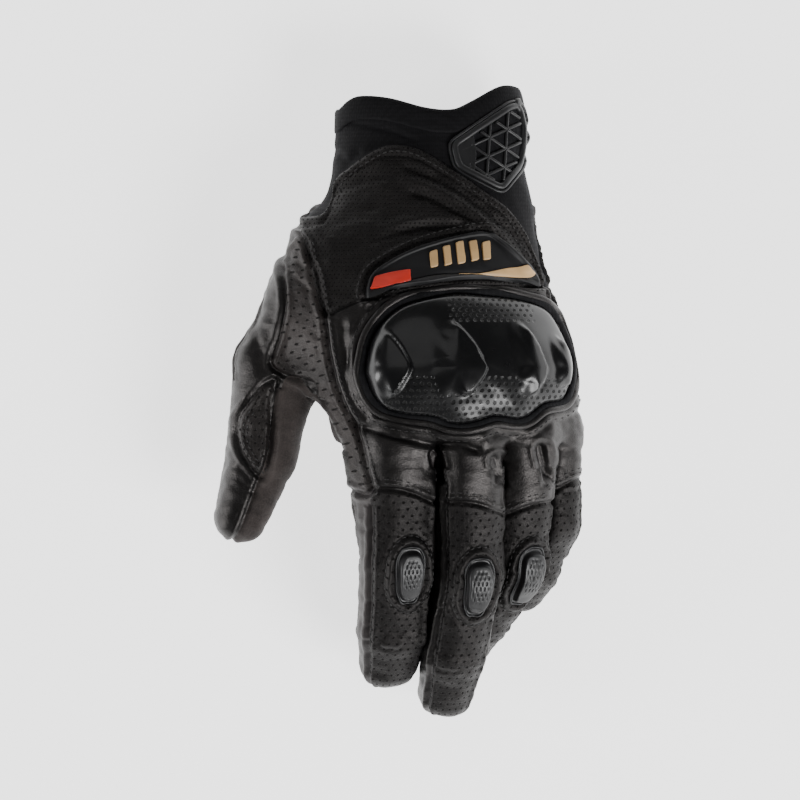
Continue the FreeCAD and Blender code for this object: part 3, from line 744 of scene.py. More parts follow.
def guard_paint():
    """Gloss black plastic with punched dots where the grip attribute says."""
    n = Nodes("guard_plastic", Specular_IOR_Level=0.4, Coat_Weight=0.12, Coat_Roughness=0.08)
    grip = n.add("ShaderNodeAttribute", attribute_name="grip").outputs["Fac"]
    dots = n.math("MULTIPLY", n.holes(2.45, 0.62), grip)
    colour = n.ramp(n.noise(90, 3), (0.3, (0.0022, 0.0022, 0.0026)), (0.8, (0.0045, 0.0045, 0.005)))
    # Painted shade: the sunk grip dots are coloured near black for the shade that falls into them.
    colour = n.mix(dots, colour, (0.001, 0.001, 0.001))
    rough = n.math("MULTIPLY_ADD", grip, 0.1, n.math("MULTIPLY_ADD", n.noise(420, 3), 0.08, 0.25))
    rough = n.math("MULTIPLY_ADD", dots, 0.5, rough)
    sunk = n.math("MULTIPLY", dots, -1.0)
    return n.finish(colour, rough, [(sunk, 0.8, 0.0008), (n.noise(35, 2), 0.05, 0.002)])


BLACK, SOFT = (0.0014, 0.0014, 0.0015), (0.0042, 0.0039, 0.0039)
PAINT = {
    "smooth": leather("smooth_leather", BLACK, SOFT, 0.4, gloss=0.4),
    "perforated": leather(
        "perforated_leather", BLACK, SOFT, 0.5, pitch=3.05, radius=0.44, grain=1.3, gloss=0.26,
    ),
    "wrist": leather(
        "fine_perforated_leather", BLACK, (0.0042, 0.0038, 0.0037), 0.56,
        pitch=1.75, radius=0.3, grain=1.4, gloss=0.28,
    ),
    "gusset": leather(
        "gusset_leather", (0.008, 0.0068, 0.0066), (0.026, 0.0215, 0.0202), 0.46,
        pitch=3.2, radius=0.5, grain=1.3, long=0.8,
    ),
    "window": leather(
        "window_leather", (0.0045, 0.004, 0.0039), (0.0135, 0.0116, 0.011), 0.48,
        pitch=2.9, radius=0.42, grain=1.2,
    ),
    "palm": leather("palm_leather", BLACK, (0.0075, 0.0066, 0.0063), 0.52, grain=1.5),
    "satin": leather("satin_leather", (0.014, 0.0125, 0.0128), (0.03, 0.0265, 0.0265), 0.5, grain=0.8),
    "suede": suede(),
    "knit": knit("stretch_knit", (0.0028, 0.0026, 0.0034), (0.0072, 0.0067, 0.0082)),
    "lining": knit("lining_fabric", (0.006, 0.006, 0.007), (0.015, 0.015, 0.017), 0.7),
    "thread": thread(),
    "guard": guard_paint(),
    "badge": moulded("badge_rubber", (0.0052, 0.0052, 0.0058), 0.52, 900, 0.12, Specular_IOR_Level=0.3),
    "gold": moulded("gold_print", (0.46, 0.29, 0.13), 0.42, 1800, 0.08),
    "red": moulded("red_print", (0.47, 0.022, 0.010), 0.4, 1800, 0.08),
    "lattice": moulded("lattice_rubber", (0.0075, 0.0075, 0.0082), 0.44, 1100, 0.14),
    "insert": moulded("insert_rubber", (0.0068, 0.0068, 0.0076), 0.44, 1100, 0.14),
    "mesh": knit("mesh_fabric", (0.004, 0.004, 0.005), (0.01, 0.01, 0.012), 0.5),
    "strap": moulded("strap_rubber", (0.011, 0.011, 0.012), 0.52, 1300, 0.3),
    "loop": knit("loop_fabric", (0.008, 0.008, 0.009), (0.02, 0.02, 0.022), 0.8),
    "hook": moulded("hook_plastic", (0.012, 0.012, 0.013), 0.5, 2600, 0.8),
}


# ---- the skin --------------------------------------------------------------------------

# Where each rubber insert lies on its finger: along and across.
INSERTS = {}
for finger_name in NAMES[:3]:
    low_corner, high_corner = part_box(f"{finger_name}_knuckle_insert")
    middle_point = (np.array(low_corner) + np.array(high_corner)) / 2 / MM - HOME
    INSERTS[finger_name] = [row[0] for row in CHAINS[finger_name].local(middle_point[None])[:2]]
SLIT_LINES = (
    ((13.9, -20.5), (15.2, -27), (16.6, -36), (17.2, -46)),
    ((36.6, -23.0), (38.0, -30), (39.6, -38), (40.6, -48)),
    ((54.3, -18.6), (55.6, -25), (57.0, -32), (57.4, -40)),
)


def hump(x, width):
    """A smooth bump of height one at zero."""
    return np.exp(-((x / width) ** 2))


def seam_shape(field, depth, lip):
    """Height of a sewn seam: a groove with a soft roll of leather each side."""
    return lip * hump(np.abs(field) - 1.9, 0.95) - depth * hump(field, 0.8)


def pattern_fields(place):
    """Every panel edge as a signed distance in millimetres, positive inside the panel."""
    p = place.points
    x, y = p[:, 0], p[:, 1]
    xy = p[:, :2]
    dorsal = smoothstep((place.up + 5) / 9)
    edge = CUFF_EDGE_PALM + (table_value(CUFF_EDGE, x) - CUFF_EDGE_PALM) * dorsal
    top = CUFF_TOP_PALM + (table_value(CUFF_TOP, x) - CUFF_TOP_PALM) * dorsal
    fields = {
        "open": y - top,
        "knit": (y - edge) * 0.8,
        "fingers": place.below,
        "thumb": place.thumb_side,
        "wrist": np.minimum(-outline_distance(WRIST_PANEL, xy), place.up + 1),
        "gusset": np.minimum(-outline_distance(GUSSET, xy), place.up + 9),
        "palm": -place.up - np.where(x > 0, 3.0, 6.5),
        "crotch": -outline_distance(CROTCH, xy),
        "palm_suede": np.minimum(27 + 0.10 * (x - 10) - y, x + 43),
        "window": np.minimum(-outline_distance(THUMB_WINDOW, xy), place.up + 40),
        "thumb_suede": 0.4 - place.back,
    }
    slit = np.full(len(x), -9.0)
    for line in SLIT_LINES:
        slit = np.maximum(slit, 2.3 - line_distance(smooth_line(line), xy))
    slit = np.where((place.up > -8) & (y > -33), slit, -9)
    fields["slit"] = slit
    for i, name in enumerate(NAMES):
        mine = (place.finger == i) & (place.below > -1.5)
        fields[name + "_seam"] = np.where(mine | (y < -12), y - seam_y(name, x), 9)
        side = side_field(place, mine)
        inner = np.full(len(x), SLIT_TOPS[0] + 40.0)
        left = np.cos(np.radians(place.angle)) < 0
        if i > 0:
            inner = np.where(left, SLIT_TOPS[i - 1], inner)
        if i < 3:
            inner = np.where(~left, SLIT_TOPS[i], inner)
        side = np.minimum(side, (inner - 2.0 - y) * 0.9)
        if i == 0:
            side = np.where(left, np.minimum(side, -33.0 - y - (x + 12) * 0.4), side)
        fields[name + "_side"] = np.maximum(side, np.where(mine, slit, -9))
        fields[name + "_share"] = (place.finger == i).astype(float)
        fields[name + "_front"] = np.where(mine, -(place.back + 4.5), -9)
        fields[name + "_c1"] = np.where(mine, place.s - CUTS[name][0], -9)
        fields[name + "_c2"] = np.where(mine, place.s - CUTS[name][1], -9)
    fields["thumb_c1"] = place.s - CUTS["thumb"][0]
    return fields


# How far along each finger and the thumb its pieces are parted.
CUTS = {}
for finger_name in NAMES:
    starts = CHAINS[finger_name].starts
    CUTS[finger_name] = (starts[1] * 0.66, starts[1] + (starts[2] - starts[1]) * 0.54)
CUTS["thumb"] = (CHAINS["thumb"].starts[1] + 21.5,)


def skin_relief(place, fields, normals):
    """How far the sewn, padded and creased leather stands off the plain shape."""
    p = place.points
    x, y = p[:, 0], p[:, 1]
    xy = p[:, :2]
    on_fingers = place.zone < 4
    on_hand = place.zone == 5
    dorsal = place.up > -4
    knitted = fields["knit"]
    leather_side = knitted < 0
    web = (on_hand | (place.below > -3)) & leather_side & (place.up > -9) & (x < 0)
    height = 0.9 * smoothstep(-knitted / 1.1)
    height += np.where(leather_side, 0.5 * hump(knitted + 1.6, 1.2), 0)
    height -= np.where(leather_side, 0.45 * hump(knitted + 3.4, 0.6), 0)
    # Each seam: its field, groove depth, lip height and where it is sewn.
    seams = [
        (fields["wrist"], 0.9, 0.35, on_hand & leather_side & dorsal),
        (fields["gusset"], 1.1, 0.55, web),
        (fields["palm"], 0.8, 0.4, on_hand & leather_side),
        (fields["palm_suede"], 0.6, 0.3, on_hand & (fields["palm"] > 0)),
        (fields["thumb_suede"], 0.9, 0.5, (place.zone == 4)),
        (fields["window"], 1.0, 0.6, place.near_thumb & (x < -44)),
        (fields["crotch"], 0.5, 0.3, on_hand & (place.up > -12)),
        (fields["slit"], 0.4, 0.75, (place.up > -6) & (y > -26)),
    ]
    for i, name in enumerate(NAMES):
        mine = on_fingers & (place.finger == i)
        sewn = mine & ((i > 0) | (x > -4) | (y < -40))
        side = fields[name + "_side"]
        seams += [
            (side, 0.75, 0.8, sewn * smoothstep((-27 - y) / 10)),
            (fields[name + "_front"], 0.5, 0.3, sewn),
            (fields[name + "_seam"], 0.85, 0.35, mine & (side < 1.0) & (place.back > 0)),
        ]
    nearest = np.full(len(x), 9.0)
    for field, depth, lip, mask in seams:
        height += mask * seam_shape(field, depth, lip)
        nearest = np.minimum(nearest, np.abs(field) + 9 * (1 - mask))
    height += 0.55 * (1 - np.exp(-nearest / 2.6)) * leather_side
    for width, depth, line in CREASES:
        away = line_distance(smooth_line(line), xy, reach=3 * width + 2)
        height -= np.where(place.up > -3, depth * hump(away, width), 0)
    for i, name in enumerate(NAMES):
        mine = on_fingers & (place.finger == i)
        starts = CHAINS[name].starts
        wobble = 0.9 * np.sin(place.across * 0.5 + i) + 0.5 * np.sin(place.across * 1.3 + 2 * i)
        # Each fold: place along the finger, half width, depth and side, 1 back or -1 front.
        folds = [
            (starts[1] + 14.5, 1.3, 0.55, 1), (starts[2] + 1.0, 1.2, 0.45, 1),
            (starts[2] - 3.5, 1.1, 0.35, 1), (starts[1] - 13.0, 1.2, 0.4, 1),
            (starts[1], 1.8, 1.1, -1), (starts[2], 1.6, 0.9, -1),
            (starts[1] - 4.5, 1.3, 0.5, -1), (starts[0] + 20, 1.8, 0.8, -1),
        ]
        for at, width, depth, face in folds:
            side = smoothstep(face * place.back / 6)
            height -= np.where(mine, depth * side * hump(place.s - at + wobble, width), 0)
        if name in INSERTS:
            along, across = INSERTS[name]
            e = np.hypot((place.across - across) / 7.7, (place.s - along) / 12.6)
            ring = 1.1 * hump(e - 0.99, 0.12) - 0.5 * hump(e - 1.2, 0.07)
            ring -= 0.9 * smoothstep((0.9 - e) / 0.1)
            height += np.where(mine & (place.back > 0), ring, 0)
    upward = smoothstep((normals[:, 2] - 0.1) / 0.5)
    sunk = np.where(place.up > -8, 3.4 * smoothstep(fields["slit"] / 1.4), 0)
    height -= sunk * smoothstep((y + 34) / 6) * upward
    trim = outline_distance(GUARD_OUTLINE, xy)
    height += np.where(dorsal, 0.7 * hump(trim - 4.6, 1.3) - 0.5 * hump(trim - 7.0, 1.0), 0)
    height += np.where(dorsal, 0.8 * hump(outline_distance(BADGE_OUTLINE, xy) - 2.0, 1.2), 0)
    pad = np.exp(-((((x + 56) / 7) ** 2) + ((y - 14) / 15) ** 2))
    height += np.where(place.near_thumb, 0.4 * pad, 0)
    soft = 0.20 * soft_noise(p, 17, 3) + 0.11 * soft_noise(p, 7, 5)
    stretched = soft_noise(p * np.array((0.55, 1.6, 1.0)), 6.5, 11)
    height += np.where(leather_side, soft + 0.09 * stretched, 0.5 * soft)
    return height


def build_skin():
    """The whole glove skin as points, normals, triangles and its panel edges."""
    points, triangles = grid_mesh(skin_distance, (-79, -124, -2), (79, 124, 84), VOXEL)
    points = relax(points, triangles, 3)
    place = Place(points)
    fields = pattern_fields(place)
    normals = vertex_normals(points, triangles)
    points = points + normals * skin_relief(place, fields, normals)[:, None]
    points = relax(points, triangles, 1, 0.35)
    normals = vertex_normals(points, triangles)
    names = list(fields)
    table = np.concatenate([points, normals, np.stack([fields[n] for n in names], 1)], 1)
    column = {n: 6 + i for i, n in enumerate(names)}
    on_hand = place.zone == 5
    near_thumb = place.near_thumb & (points[:, 0] < -24)
    steps = [
        ("open", points[:, 1] > 95), ("knit", points[:, 1] > 20), ("thumb", near_thumb),
        ("fingers", ~near_thumb & (points[:, 0] > -27)),
        ("wrist", on_hand & (place.up > -3)), ("gusset", (place.up > -12) & (points[:, 0] < 2)),
        ("crotch", on_hand & (points[:, 0] < -12)), ("palm", on_hand),
        ("palm_suede", on_hand & (place.up < 0)), ("thumb_suede", near_thumb),
        ("window", near_thumb), ("thumb_c1", near_thumb),
    ]
    for i, name in enumerate(NAMES):
        mine = (place.finger == i) & (place.below > -0.9) & ~near_thumb
        steps += [(f"{name}_{part}", mine) for part in ("c1", "c2", "side", "front", "seam")]
    for name, where in steps:
        where = np.concatenate([where, np.zeros(len(table) - len(where), bool)])
        fresh = len(points)
        where[fresh:] = grown(table, fresh, name, column)
        table, triangles, _ = cut(table, triangles, column[name], where)
    return table, triangles, column


def grown(table, fresh, name, column):
    """Which of the vertices made by earlier cuts a later cut may pass through."""
    finger = name.split("_")[0]
    if finger in NAMES:
        return table[fresh:, column[finger + "_c1"]] > -8.5
    return np.ones(len(table) - fresh, bool)


def label_faces(table, triangles, column):
    """The zone and panel of every triangle."""
    middle = table[triangles].mean(1)
    place = Place(middle[:, :3])
    value = {n: middle[:, c] for n, c in column.items()}
    near_thumb = place.near_thumb & (middle[:, 0] < -24) & (value["thumb"] > 0)
    finger = np.stack([value[name + "_share"] for name in NAMES]).argmax(0)
    zone = np.full(len(middle), "hand", dtype=object)
    panel = np.full(len(middle), "knuckle_back_panel", dtype=object)
    panel[value["palm"] > 0] = "palm_panel"
    panel[(value["palm"] > 0) & (value["palm_suede"] < 0)] = "palm_heel_panel"
    left = (middle[:, 0] < -20) & (value["palm"] <= 0) & (middle[:, 1] > -2)
    panel[left] = "thumb_root_panel"
    panel[value["wrist"] > 0] = "wrist_back_panel"
    panel[(value["gusset"] > 0) & (value["wrist"] <= 0)] = "side_gusset"
    panel[value["crotch"] > 0] = "palm_panel"
    panel[value["knit"] > 0] = "cuff_sleeve"
    for i, name in enumerate(NAMES):
        mine = (finger == i) & (value["fingers"] > 0) & ~near_thumb & (middle[:, 0] > -27)
        bone = np.where(value[name + "_c2"] > 0, "tip", np.where(value[name + "_c1"] > 0, "middle", "base"))
        face = np.where(value[name + "_seam"] > 0, "knuckle", "back")
        face = np.where(value[name + "_side"] > 0, "side", face)
        if name == "index":
            face = np.where((value["gusset"] > 0) & (face != "side"), "gusset", face)
        face = np.where(value[name + "_front"] > 0, "front", face)
        zone[mine] = (name + "_" + bone.astype(object))[mine]
        panel[mine] = face[mine]
    bone = np.where(value["thumb_c1"] > 0, "tip", "base").astype(object)
    face = np.where(value["window"] > 0, "window", "back")
    face = np.where(value["thumb_suede"] > 0, "front", face)
    zone[near_thumb] = ("thumb_" + bone)[near_thumb]
    panel[near_thumb] = face[near_thumb]
    return zone, panel, value["open"] <= 0


def zone_bend(zone):
    """The two bodies a zone bends between and the points, in metres, where it starts and ends."""
    name, _, bone = zone.partition("_")
    chain = CHAINS[name]
    parts = ("base", "tip") if name == "thumb" else ("base", "middle", "tip")
    number = parts.index(bone)
    bodies = (f"{name}_{parts[number - 1]}" if number else "hand", zone)
    knot = number + (name == "thumb")
    if name == "thumb":
        reach = (-10.5, 10.5) if number else (10.5, 21.0)
    elif number == 0:
        reach = (4.6, 18.0 if name == "little" else 22.0)
    elif number == 1:
        reach = (-min(13.0, 0.3 * chain.lengths[0]), min(13.5, 0.5 * chain.lengths[1]))
    else:
        reach = (-min(12.5, 0.33 * chain.lengths[1]), min(12.5, 0.5 * chain.lengths[2]))
    joint, way = chain.joints[knot], chain.along[min(knot, len(chain.along) - 1)]
    if reach[0] < 0:
        way = unit(way + chain.along[knot - 1])
    if zone == "thumb_base":
        way = np.array((*THUMB_CUT[1], 0.0))
        joint = np.array((*THUMB_CUT[0], chain.joints[1][2])) - way * reach[0]
    ends = [Vector((joint + way * r + HOME) * MM) for r in reach]
    return bodies, ends


def settle(piece, zone):
    """Makes a piece ride with the hand, or, for a finger or thumb zone, only bakes its place into its mesh.
    """
    if zone == "hand":
        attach(piece, zone)
        return
    bodies, ends = zone_bend(zone)
    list(bodies)
    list(ends)
    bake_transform(piece)


FEWEST_FACES = 30
# Panel kind: its paint and the CAD nodes it stands for on the hand.
PANELS = {
    "knuckle_back_panel": ("smooth", ("knuckle_back_panel", "knuckle_base_panel")),
    "thumb_root_panel": ("smooth", ("thumb_root_panel",)),
    "wrist_back_panel": ("wrist", ("wrist_back_panel",)),
    "side_gusset": ("gusset", ("side_gusset", "index_side_panel")),
    "palm_panel": ("suede", ("palm_panel", "finger_gussets")),
    "palm_heel_panel": ("palm", ("palm_heel_panel", "wrist_side_panel")),
    "cuff_sleeve": ("knit", ("cuff_sleeve",)),
    "knuckle": ("smooth", ()), "side": ("smooth", ()), "back": ("perforated", ()),
    "front": ("palm", ()), "gusset": ("gusset", ()), "window": ("window", ()),
}


def panel_uv(place, zone, panel):
    """Millimetres across and along a panel, for its punched holes."""
    x, y, z = place.points.T
    if zone != "hand" and not zone.startswith("thumb") and panel != "gusset":
        chain = CHAINS[zone.split("_")[0]]
        way = unit(chain.joints[-1] - chain.joints[0])
        angle = chain.local(place.points)[3]
        return np.stack([np.radians(angle - 90) * 12.0, (place.points - chain.joints[0]) @ way], 1)
    if panel in ("side_gusset", "gusset"):
        return np.stack([x - 0.45 * z + 0.25 * y, y - 0.2 * x], 1)
    return np.stack([x, y], 1)


def panel_pieces(table, triangles, column):
    """One object for each panel of each zone."""
    zone, panel, inside = label_faces(table, triangles, column)
    keys = np.array([f"{z}|{p}" for z, p in zip(zone, panel)])
    keys[~inside] = ""
    for key in sorted(set(keys) - {""}):
        where, kind = key.split("|")
        used, faces = np.unique(triangles[keys == key], return_inverse=True)
        faces = faces.reshape(-1, 3)
        if len(faces) < FEWEST_FACES:
            continue
        paint, nodes = PANELS[kind]
        name = kind if where == "hand" else f"{where}_{kind}_leather"
        if where.startswith("thumb"):
            paint = {"front": "suede", "back": "smooth"}.get(kind, paint)
        if where.startswith("index") and kind == "side":
            paint = "satin"
        points, normals = table[used, :3], unit(table[used, 3:6])
        uv = panel_uv(Place(points), where, kind)
        piece = mesh_object(name + "_skin", points, faces, PAINT[paint], uv, normals)
        settle(piece, where)
        if where == "hand":
            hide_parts(*nodes)
        else:
            face = "front" if kind in ("front", "side") else "back"
            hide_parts(f"{where}_{face}")


# ---- pieces laid on the skin --------------------------------------------------------------


def evened(rows, rounds, loop=False):
    """Rows evened out in place with the rows before and after them, some rounds over."""
    for _ in range(rounds):
        if loop:
            rows[:] = (np.roll(rows, 1, 0) + 2 * rows + np.roll(rows, -1, 0)) / 4
        else:
            rows[1:-1] = (rows[:-2] + 2 * rows[1:-1] + rows[2:]) / 4
    return rows


def closed(line):
    """A line with its first point again at its end."""
    return np.concatenate([line, line[:1]])


def facing(outline):
    """1 for a closed flat outline that runs anticlockwise, -1 for clockwise."""
    return 1 if (outline * np.roll(outline[:, ::-1], -1, 0) * (1, -1)).sum() > 0 else -1


def ring_faces(rings, count):
    """Quads between closed rings of points, ring after ring."""
    faces = []
    for r in range(rings - 1):
        for i in range(count):
            j = (i + 1) % count
            faces.append((r * count + i, r * count + j, (r + 1) * count + j, (r + 1) * count + i))
    return faces


class Ground:
    """The finished skin, for laying other pieces on it."""

    def __init__(self, points, triangles, normals):
        self.tree = BVHTree.FromPolygons(points.tolist(), triangles.tolist())
        self.triangles, self.normals = triangles, normals

    def hit(self, origin, way, beside=None):
        """Where a ray meets the skin, or the skin nearest to a point beside it, and its normal."""
        spot, _, index, _ = self.tree.ray_cast(Vector(origin), Vector(way))
        if spot is None:
            spot, _, index, _ = self.tree.find_nearest(Vector(beside or origin))
        return np.array(spot), unit(self.normals[self.triangles[index]].mean(0))

    def under(self, xy):
        """The skin below each X, Y point: places and normals."""
        found = [self.hit((x, y, 95), (0, 0, -1), (x, y, 26)) for x, y in np.atleast_2d(xy)]
        return np.array([f[0] for f in found]), np.array([f[1] for f in found])

    def nearest(self, points):
        """The skin nearest to some points."""
        found = [self.tree.find_nearest(Vector(p)) for p in points]
        spots = np.array([f[0] for f in found])
        return spots, unit(self.normals[self.triangles[[f[2] for f in found]]].mean(1))


def even(line, step):
    """Points every step along a line, with their directions."""
    line = np.array(line, float)
    parts = np.linalg.norm(np.diff(line, axis=0), axis=1)
    at = np.concatenate([[0], np.cumsum(parts)])
    count = max(int(at[-1] / step), 1)
    want = (np.arange(count) + 0.5) * at[-1] / count
    points = np.stack([np.interp(want, at, line[:, k]) for k in range(line.shape[1])], 1)
    ahead = np.stack([np.interp(want + 0.3, at, line[:, k]) for k in range(line.shape[1])], 1)
    behind = np.stack([np.interp(want - 0.3, at, line[:, k]) for k in range(line.shape[1])], 1)
    return points, unit(ahead - behind + 1e-9)


def offset_loop(line, by):
    """A closed flat line moved sideways."""
    way = unit(np.roll(line, -1, 0) - np.roll(line, 1, 0))
    return line + np.stack([-way[:, 1], way[:, 0]], 1) * by


def offset_line(line, by):
    """A flat line moved sideways."""
    line = np.array(line, float)
    way = unit(np.gradient(line, axis=0))
    return line + np.stack([-way[:, 1], way[:, 0]], 1) * by


STITCH_LENGTH, STITCH_RADIUS, STITCH_STEP = 1.75, 0.27, 2.55
STITCH_ANGLE = 55
# The rings of one stitch: place along it, swell and rise.
STITCH_RINGS = (
    (-0.5, 0.35, -0.28), (-0.36, 0.85, 0.02), (0.0, 1.0, 0.12), (0.36, 0.85, 0.02), (0.5, 0.35, -0.28),
)
# How far off the middle of a finger the rays start that find its skin.
RAY_START = 25


def stitch_mesh(spots, ways, normals):
    """Short rounded threads sunk into the leather at both ends."""
    sides = 6
    ways = unit(ways - (ways * normals).sum(1, keepdims=True) * normals)
    across = np.cross(normals, ways)
    turn = np.arange(sides) / sides * 2 * np.pi
    parts = []
    for at, swell, rise in STITCH_RINGS:
        centre = spots + ways * at * STITCH_LENGTH + normals * rise * STITCH_RADIUS * 2
        for a in turn:
            parts.append(centre + (across * np.cos(a) + normals * np.sin(a)) * STITCH_RADIUS * swell)
    points = np.stack(parts, 1).reshape(-1, 3)
    faces = ring_faces(len(STITCH_RINGS), sides)
    last = (len(STITCH_RINGS) - 1) * sides
    for i in (1, 3):
        faces.append((0, i + 2, i + 1, i))
        faces.append((last, last + i, last + i + 1, last + i + 2))
    faces = np.array(faces)
    count = sides * len(STITCH_RINGS)
    return points, (faces[None] + np.arange(len(spots))[:, None, None] * count).reshape(-1, 4)


def zone_names(points):
    """The zone name of each point on the skin."""
    place = Place(points)
    names = np.full(len(points), "hand", dtype=object)
    for i, name in enumerate(NAMES):
        mine = place.zone == i
        first, second = CUTS[name]
        bone = np.where(place.s > second, "tip", np.where(place.s > first, "middle", "base")).astype(object)
        names[mine] = (name + "_" + bone)[mine]
    mine = place.zone == 4
    bone = np.where(place.s > CUTS["thumb"][0], "tip", "base").astype(object)
    names[mine] = ("thumb_" + bone)[mine]
    return names


def sew(ground, rows):
    """Stitches along rows on the skin, one piece of thread for each zone."""
    spots, ways = [], []
    for row, flat in rows:
        at, way = even(row, STITCH_STEP)
        if flat:
            at = ground.under(at)[0]
            way = np.column_stack([way, np.gradient(at[:, 2]) / STITCH_STEP])
        spots.append(at)
        ways.append(way)
    spots, ways = np.concatenate(spots), unit(np.concatenate(ways))
    spots, normals = ground.nearest(spots)
    zones = zone_names(spots)
    for zone in sorted(set(zones)):
        mine = zones == zone
        points, faces = stitch_mesh(spots[mine], ways[mine], normals[mine])
        piece = mesh_object(zone + "_stitching", points, faces, PAINT["thread"])
        settle(piece, zone)


def finger_line(ground, name, angle, start, end):
    """A line along a finger's skin at one section angle."""
    line = []
    for s in np.arange(start, end, 1.5):
        centre, across, back = CHAINS[name].centre(s)
        way = across * np.cos(np.radians(angle)) + back * np.sin(np.radians(angle))
        line.append(ground.hit(centre, way)[0])
    return evened(np.array(line), 3)


def oval_line(ground, name, along, across, half_across, half_along):
    """An oval on a finger's back, in the finger's own coordinates."""
    line = []
    for a in np.linspace(0, 2 * np.pi, 41):
        centre, sideways, back = CHAINS[name].centre(along + half_along * np.sin(a))
        spot = centre + sideways * (across + half_across * np.cos(a))
        line.append(ground.hit(spot + back * RAY_START, -back)[0])
    return np.array(line)


def stitch_rows(ground):
    """Every visible row of stitches, and whether it is flat and still has to be laid on the skin."""
    guard = offset_line(closed(smooth_line(GUARD_OUTLINE, True)), 6.4)
    window = smooth_line(THUMB_WINDOW[:5])
    flat = [
        offset_line(smooth_line(CUFF_EDGE[2:13]), -2.3),
        offset_line(smooth_line(GUSSET, True)[16:90], 1.7),
        guard[:-12],
        offset_line(smooth_line(BADGE_OUTLINE, True)[:84], 3.2),
        offset_line(window, 1.9),
        offset_line(window, 3.4),
    ]
    rows = [(line, True) for line in flat]
    for name in NAMES:
        end = CHAINS[name].starts[-1] + 1.5
        first = 26 if name == "index" else 9
        rows.append((finger_line(ground, name, 90 + STITCH_ANGLE, first, end), False))
        first = 12 if name == "little" else 9
        rows.append((finger_line(ground, name, 90 - STITCH_ANGLE, first, end), False))
        x0 = FINGER_SEAMS[name][0]
        x = np.linspace(x0 - 8.5, x0 + 8.5, 16) if name != "little" else np.linspace(x0 - 6, x0 + 8, 14)
        line = np.stack([x, seam_y(name, x)], 1)
        rows += [(offset_line(line, 1.7), True), (offset_line(line, 3.3), True)]
    for name, (along, across) in INSERTS.items():
        rows.append((oval_line(ground, name, along, across, 9.6, 14.6), False))
    return rows


def disc_faces(rings, count):
    """Faces of a disc of rings round a centre point; ring 0 is the outermost."""
    last = (rings - 1) * count
    fan = [(last + i, last + (i + 1) % count, rings * count) for i in range(count)]
    return ring_faces(rings, count) + fan


def plate(lay, outline, height, rings, rounds, bevel):
    """A thin piece with a flat outline, following the skin: points, faces and each point's X, Y.

    lay(xy) gives places and normals on the skin. height is how far the top stands off the skin:
    a number, or height(xy, share), share running from 0 at the middle to 1 at the edge."""
    edge = np.array(outline, float)
    if facing(edge) < 0:
        edge = edge[::-1]
    count = len(edge)
    middle = (edge.max(0) + edge.min(0)) / 2
    slope = bevel / np.abs(edge - middle).max()
    inner = np.linspace(1 - 2 * slope, 0, rings)[:-1]
    shares = np.concatenate([[1.0, 1.0], 1 - slope * np.array((0.3, 1.0)), inner])
    xy = np.concatenate([middle + (edge - middle) * s for s in shares] + [middle[None]])
    spots, normals = lay(xy)
    for _ in range(rounds):
        for values in (spots, normals):
            g = values[:-1].reshape(len(shares), count, 3)
            mean = (np.roll(g, 1, 1) + np.roll(g, -1, 1)) / 4
            mean[1:-1] += (g[:-2] + g[2:]) / 4
            mean[0] += g[0] / 2
            mean[-1] += (g[-2] + values[-1]) / 4
            g[1:] = mean[1:]
            values[-1] = g[-1].mean(0)
    normals = unit(normals)
    share = np.append(np.repeat(shares, count), 0.0)
    lift = height(xy, share) if callable(height) else np.full(len(xy), height)
    lift[:count] = -0.6
    lift[count : 2 * count] *= 0.55
    lift[2 * count : 3 * count] *= 0.92
    points = spots + normals * lift[:, None]
    return points, disc_faces(len(shares), count), xy


def bar(spots, normals, width, height, closed=False):
    """A rounded strip along a line on the skin: points and faces."""
    power, sink = 2.6, 0.4
    count = len(spots)
    ahead = np.roll(spots, -1, 0) - np.roll(spots, 1, 0)
    if not closed:
        ahead[0], ahead[-1] = spots[1] - spots[0], spots[-1] - spots[-2]
    across = unit(np.cross(unit(ahead), normals))
    angles = np.linspace(-0.25, np.pi + 0.25, 9)
    rows = []
    for a in angles:
        c, s = np.cos(a), np.sin(a)
        side = np.sign(c) * abs(c) ** (2 / power) * width / 2
        up = np.sign(s) * abs(s) ** (2 / power) * height if s > 0 else -sink
        rows.append(spots + across * side + normals * up)
    points = np.stack(rows, 1).reshape(-1, 3)
    k = len(angles)
    faces = []
    for i in range(count if closed else count - 1):
        j = (i + 1) % count
        faces += [(i * k + m, j * k + m, j * k + m + 1, i * k + m + 1) for m in range(k - 1)]
        faces.append((i * k + k - 1, j * k + k - 1, j * k, i * k))
    if not closed:
        faces += [tuple(range(k)), tuple(reversed(range((count - 1) * k, count * k)))]
    return points, faces


def joined(parts):
    """Several points-and-faces pairs as one."""
    points, faces, done = [], [], 0
    for p, f in parts:
        points.append(p)
        faces += [tuple(v + done for v in face) for face in f]
        done += len(p)
    return np.concatenate(points), faces


def laid_loop(lay, flat, rounds):
    """A closed flat line laid on the skin and evened out: places and normals."""
    spots, normals = lay(flat)
    return evened(spots, rounds, True), unit(evened(normals, rounds, True))


def hard_piece(name, shape, paint, node, body="hand", uv=None, grip=None):
    """A piece of some points and faces that rides a body and stands for a CAD node."""
    piece = mesh_object(name, *shape, PAINT[paint], uv)
    if grip is not None:
        layer = piece.data.attributes.new("grip", "FLOAT", "POINT")
        layer.data.foreach_set("value", grip.astype(np.float32))
    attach(piece, body)
    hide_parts(node)
    return piece


# The ridge and half width of each raised knuckle form on the guard, and how far it runs up
# and down from RIDGE_Y, where it is widest.
KNUCKLES = ((5.4, 9.2, 17.5, 12.5), (31.2, 9.6, 20.0, 13.0), (53.6, 5.6, 18.5, 11.5), (65.0, 3.9, 13.5, 8.0))
RIDGE_Y = 11.5


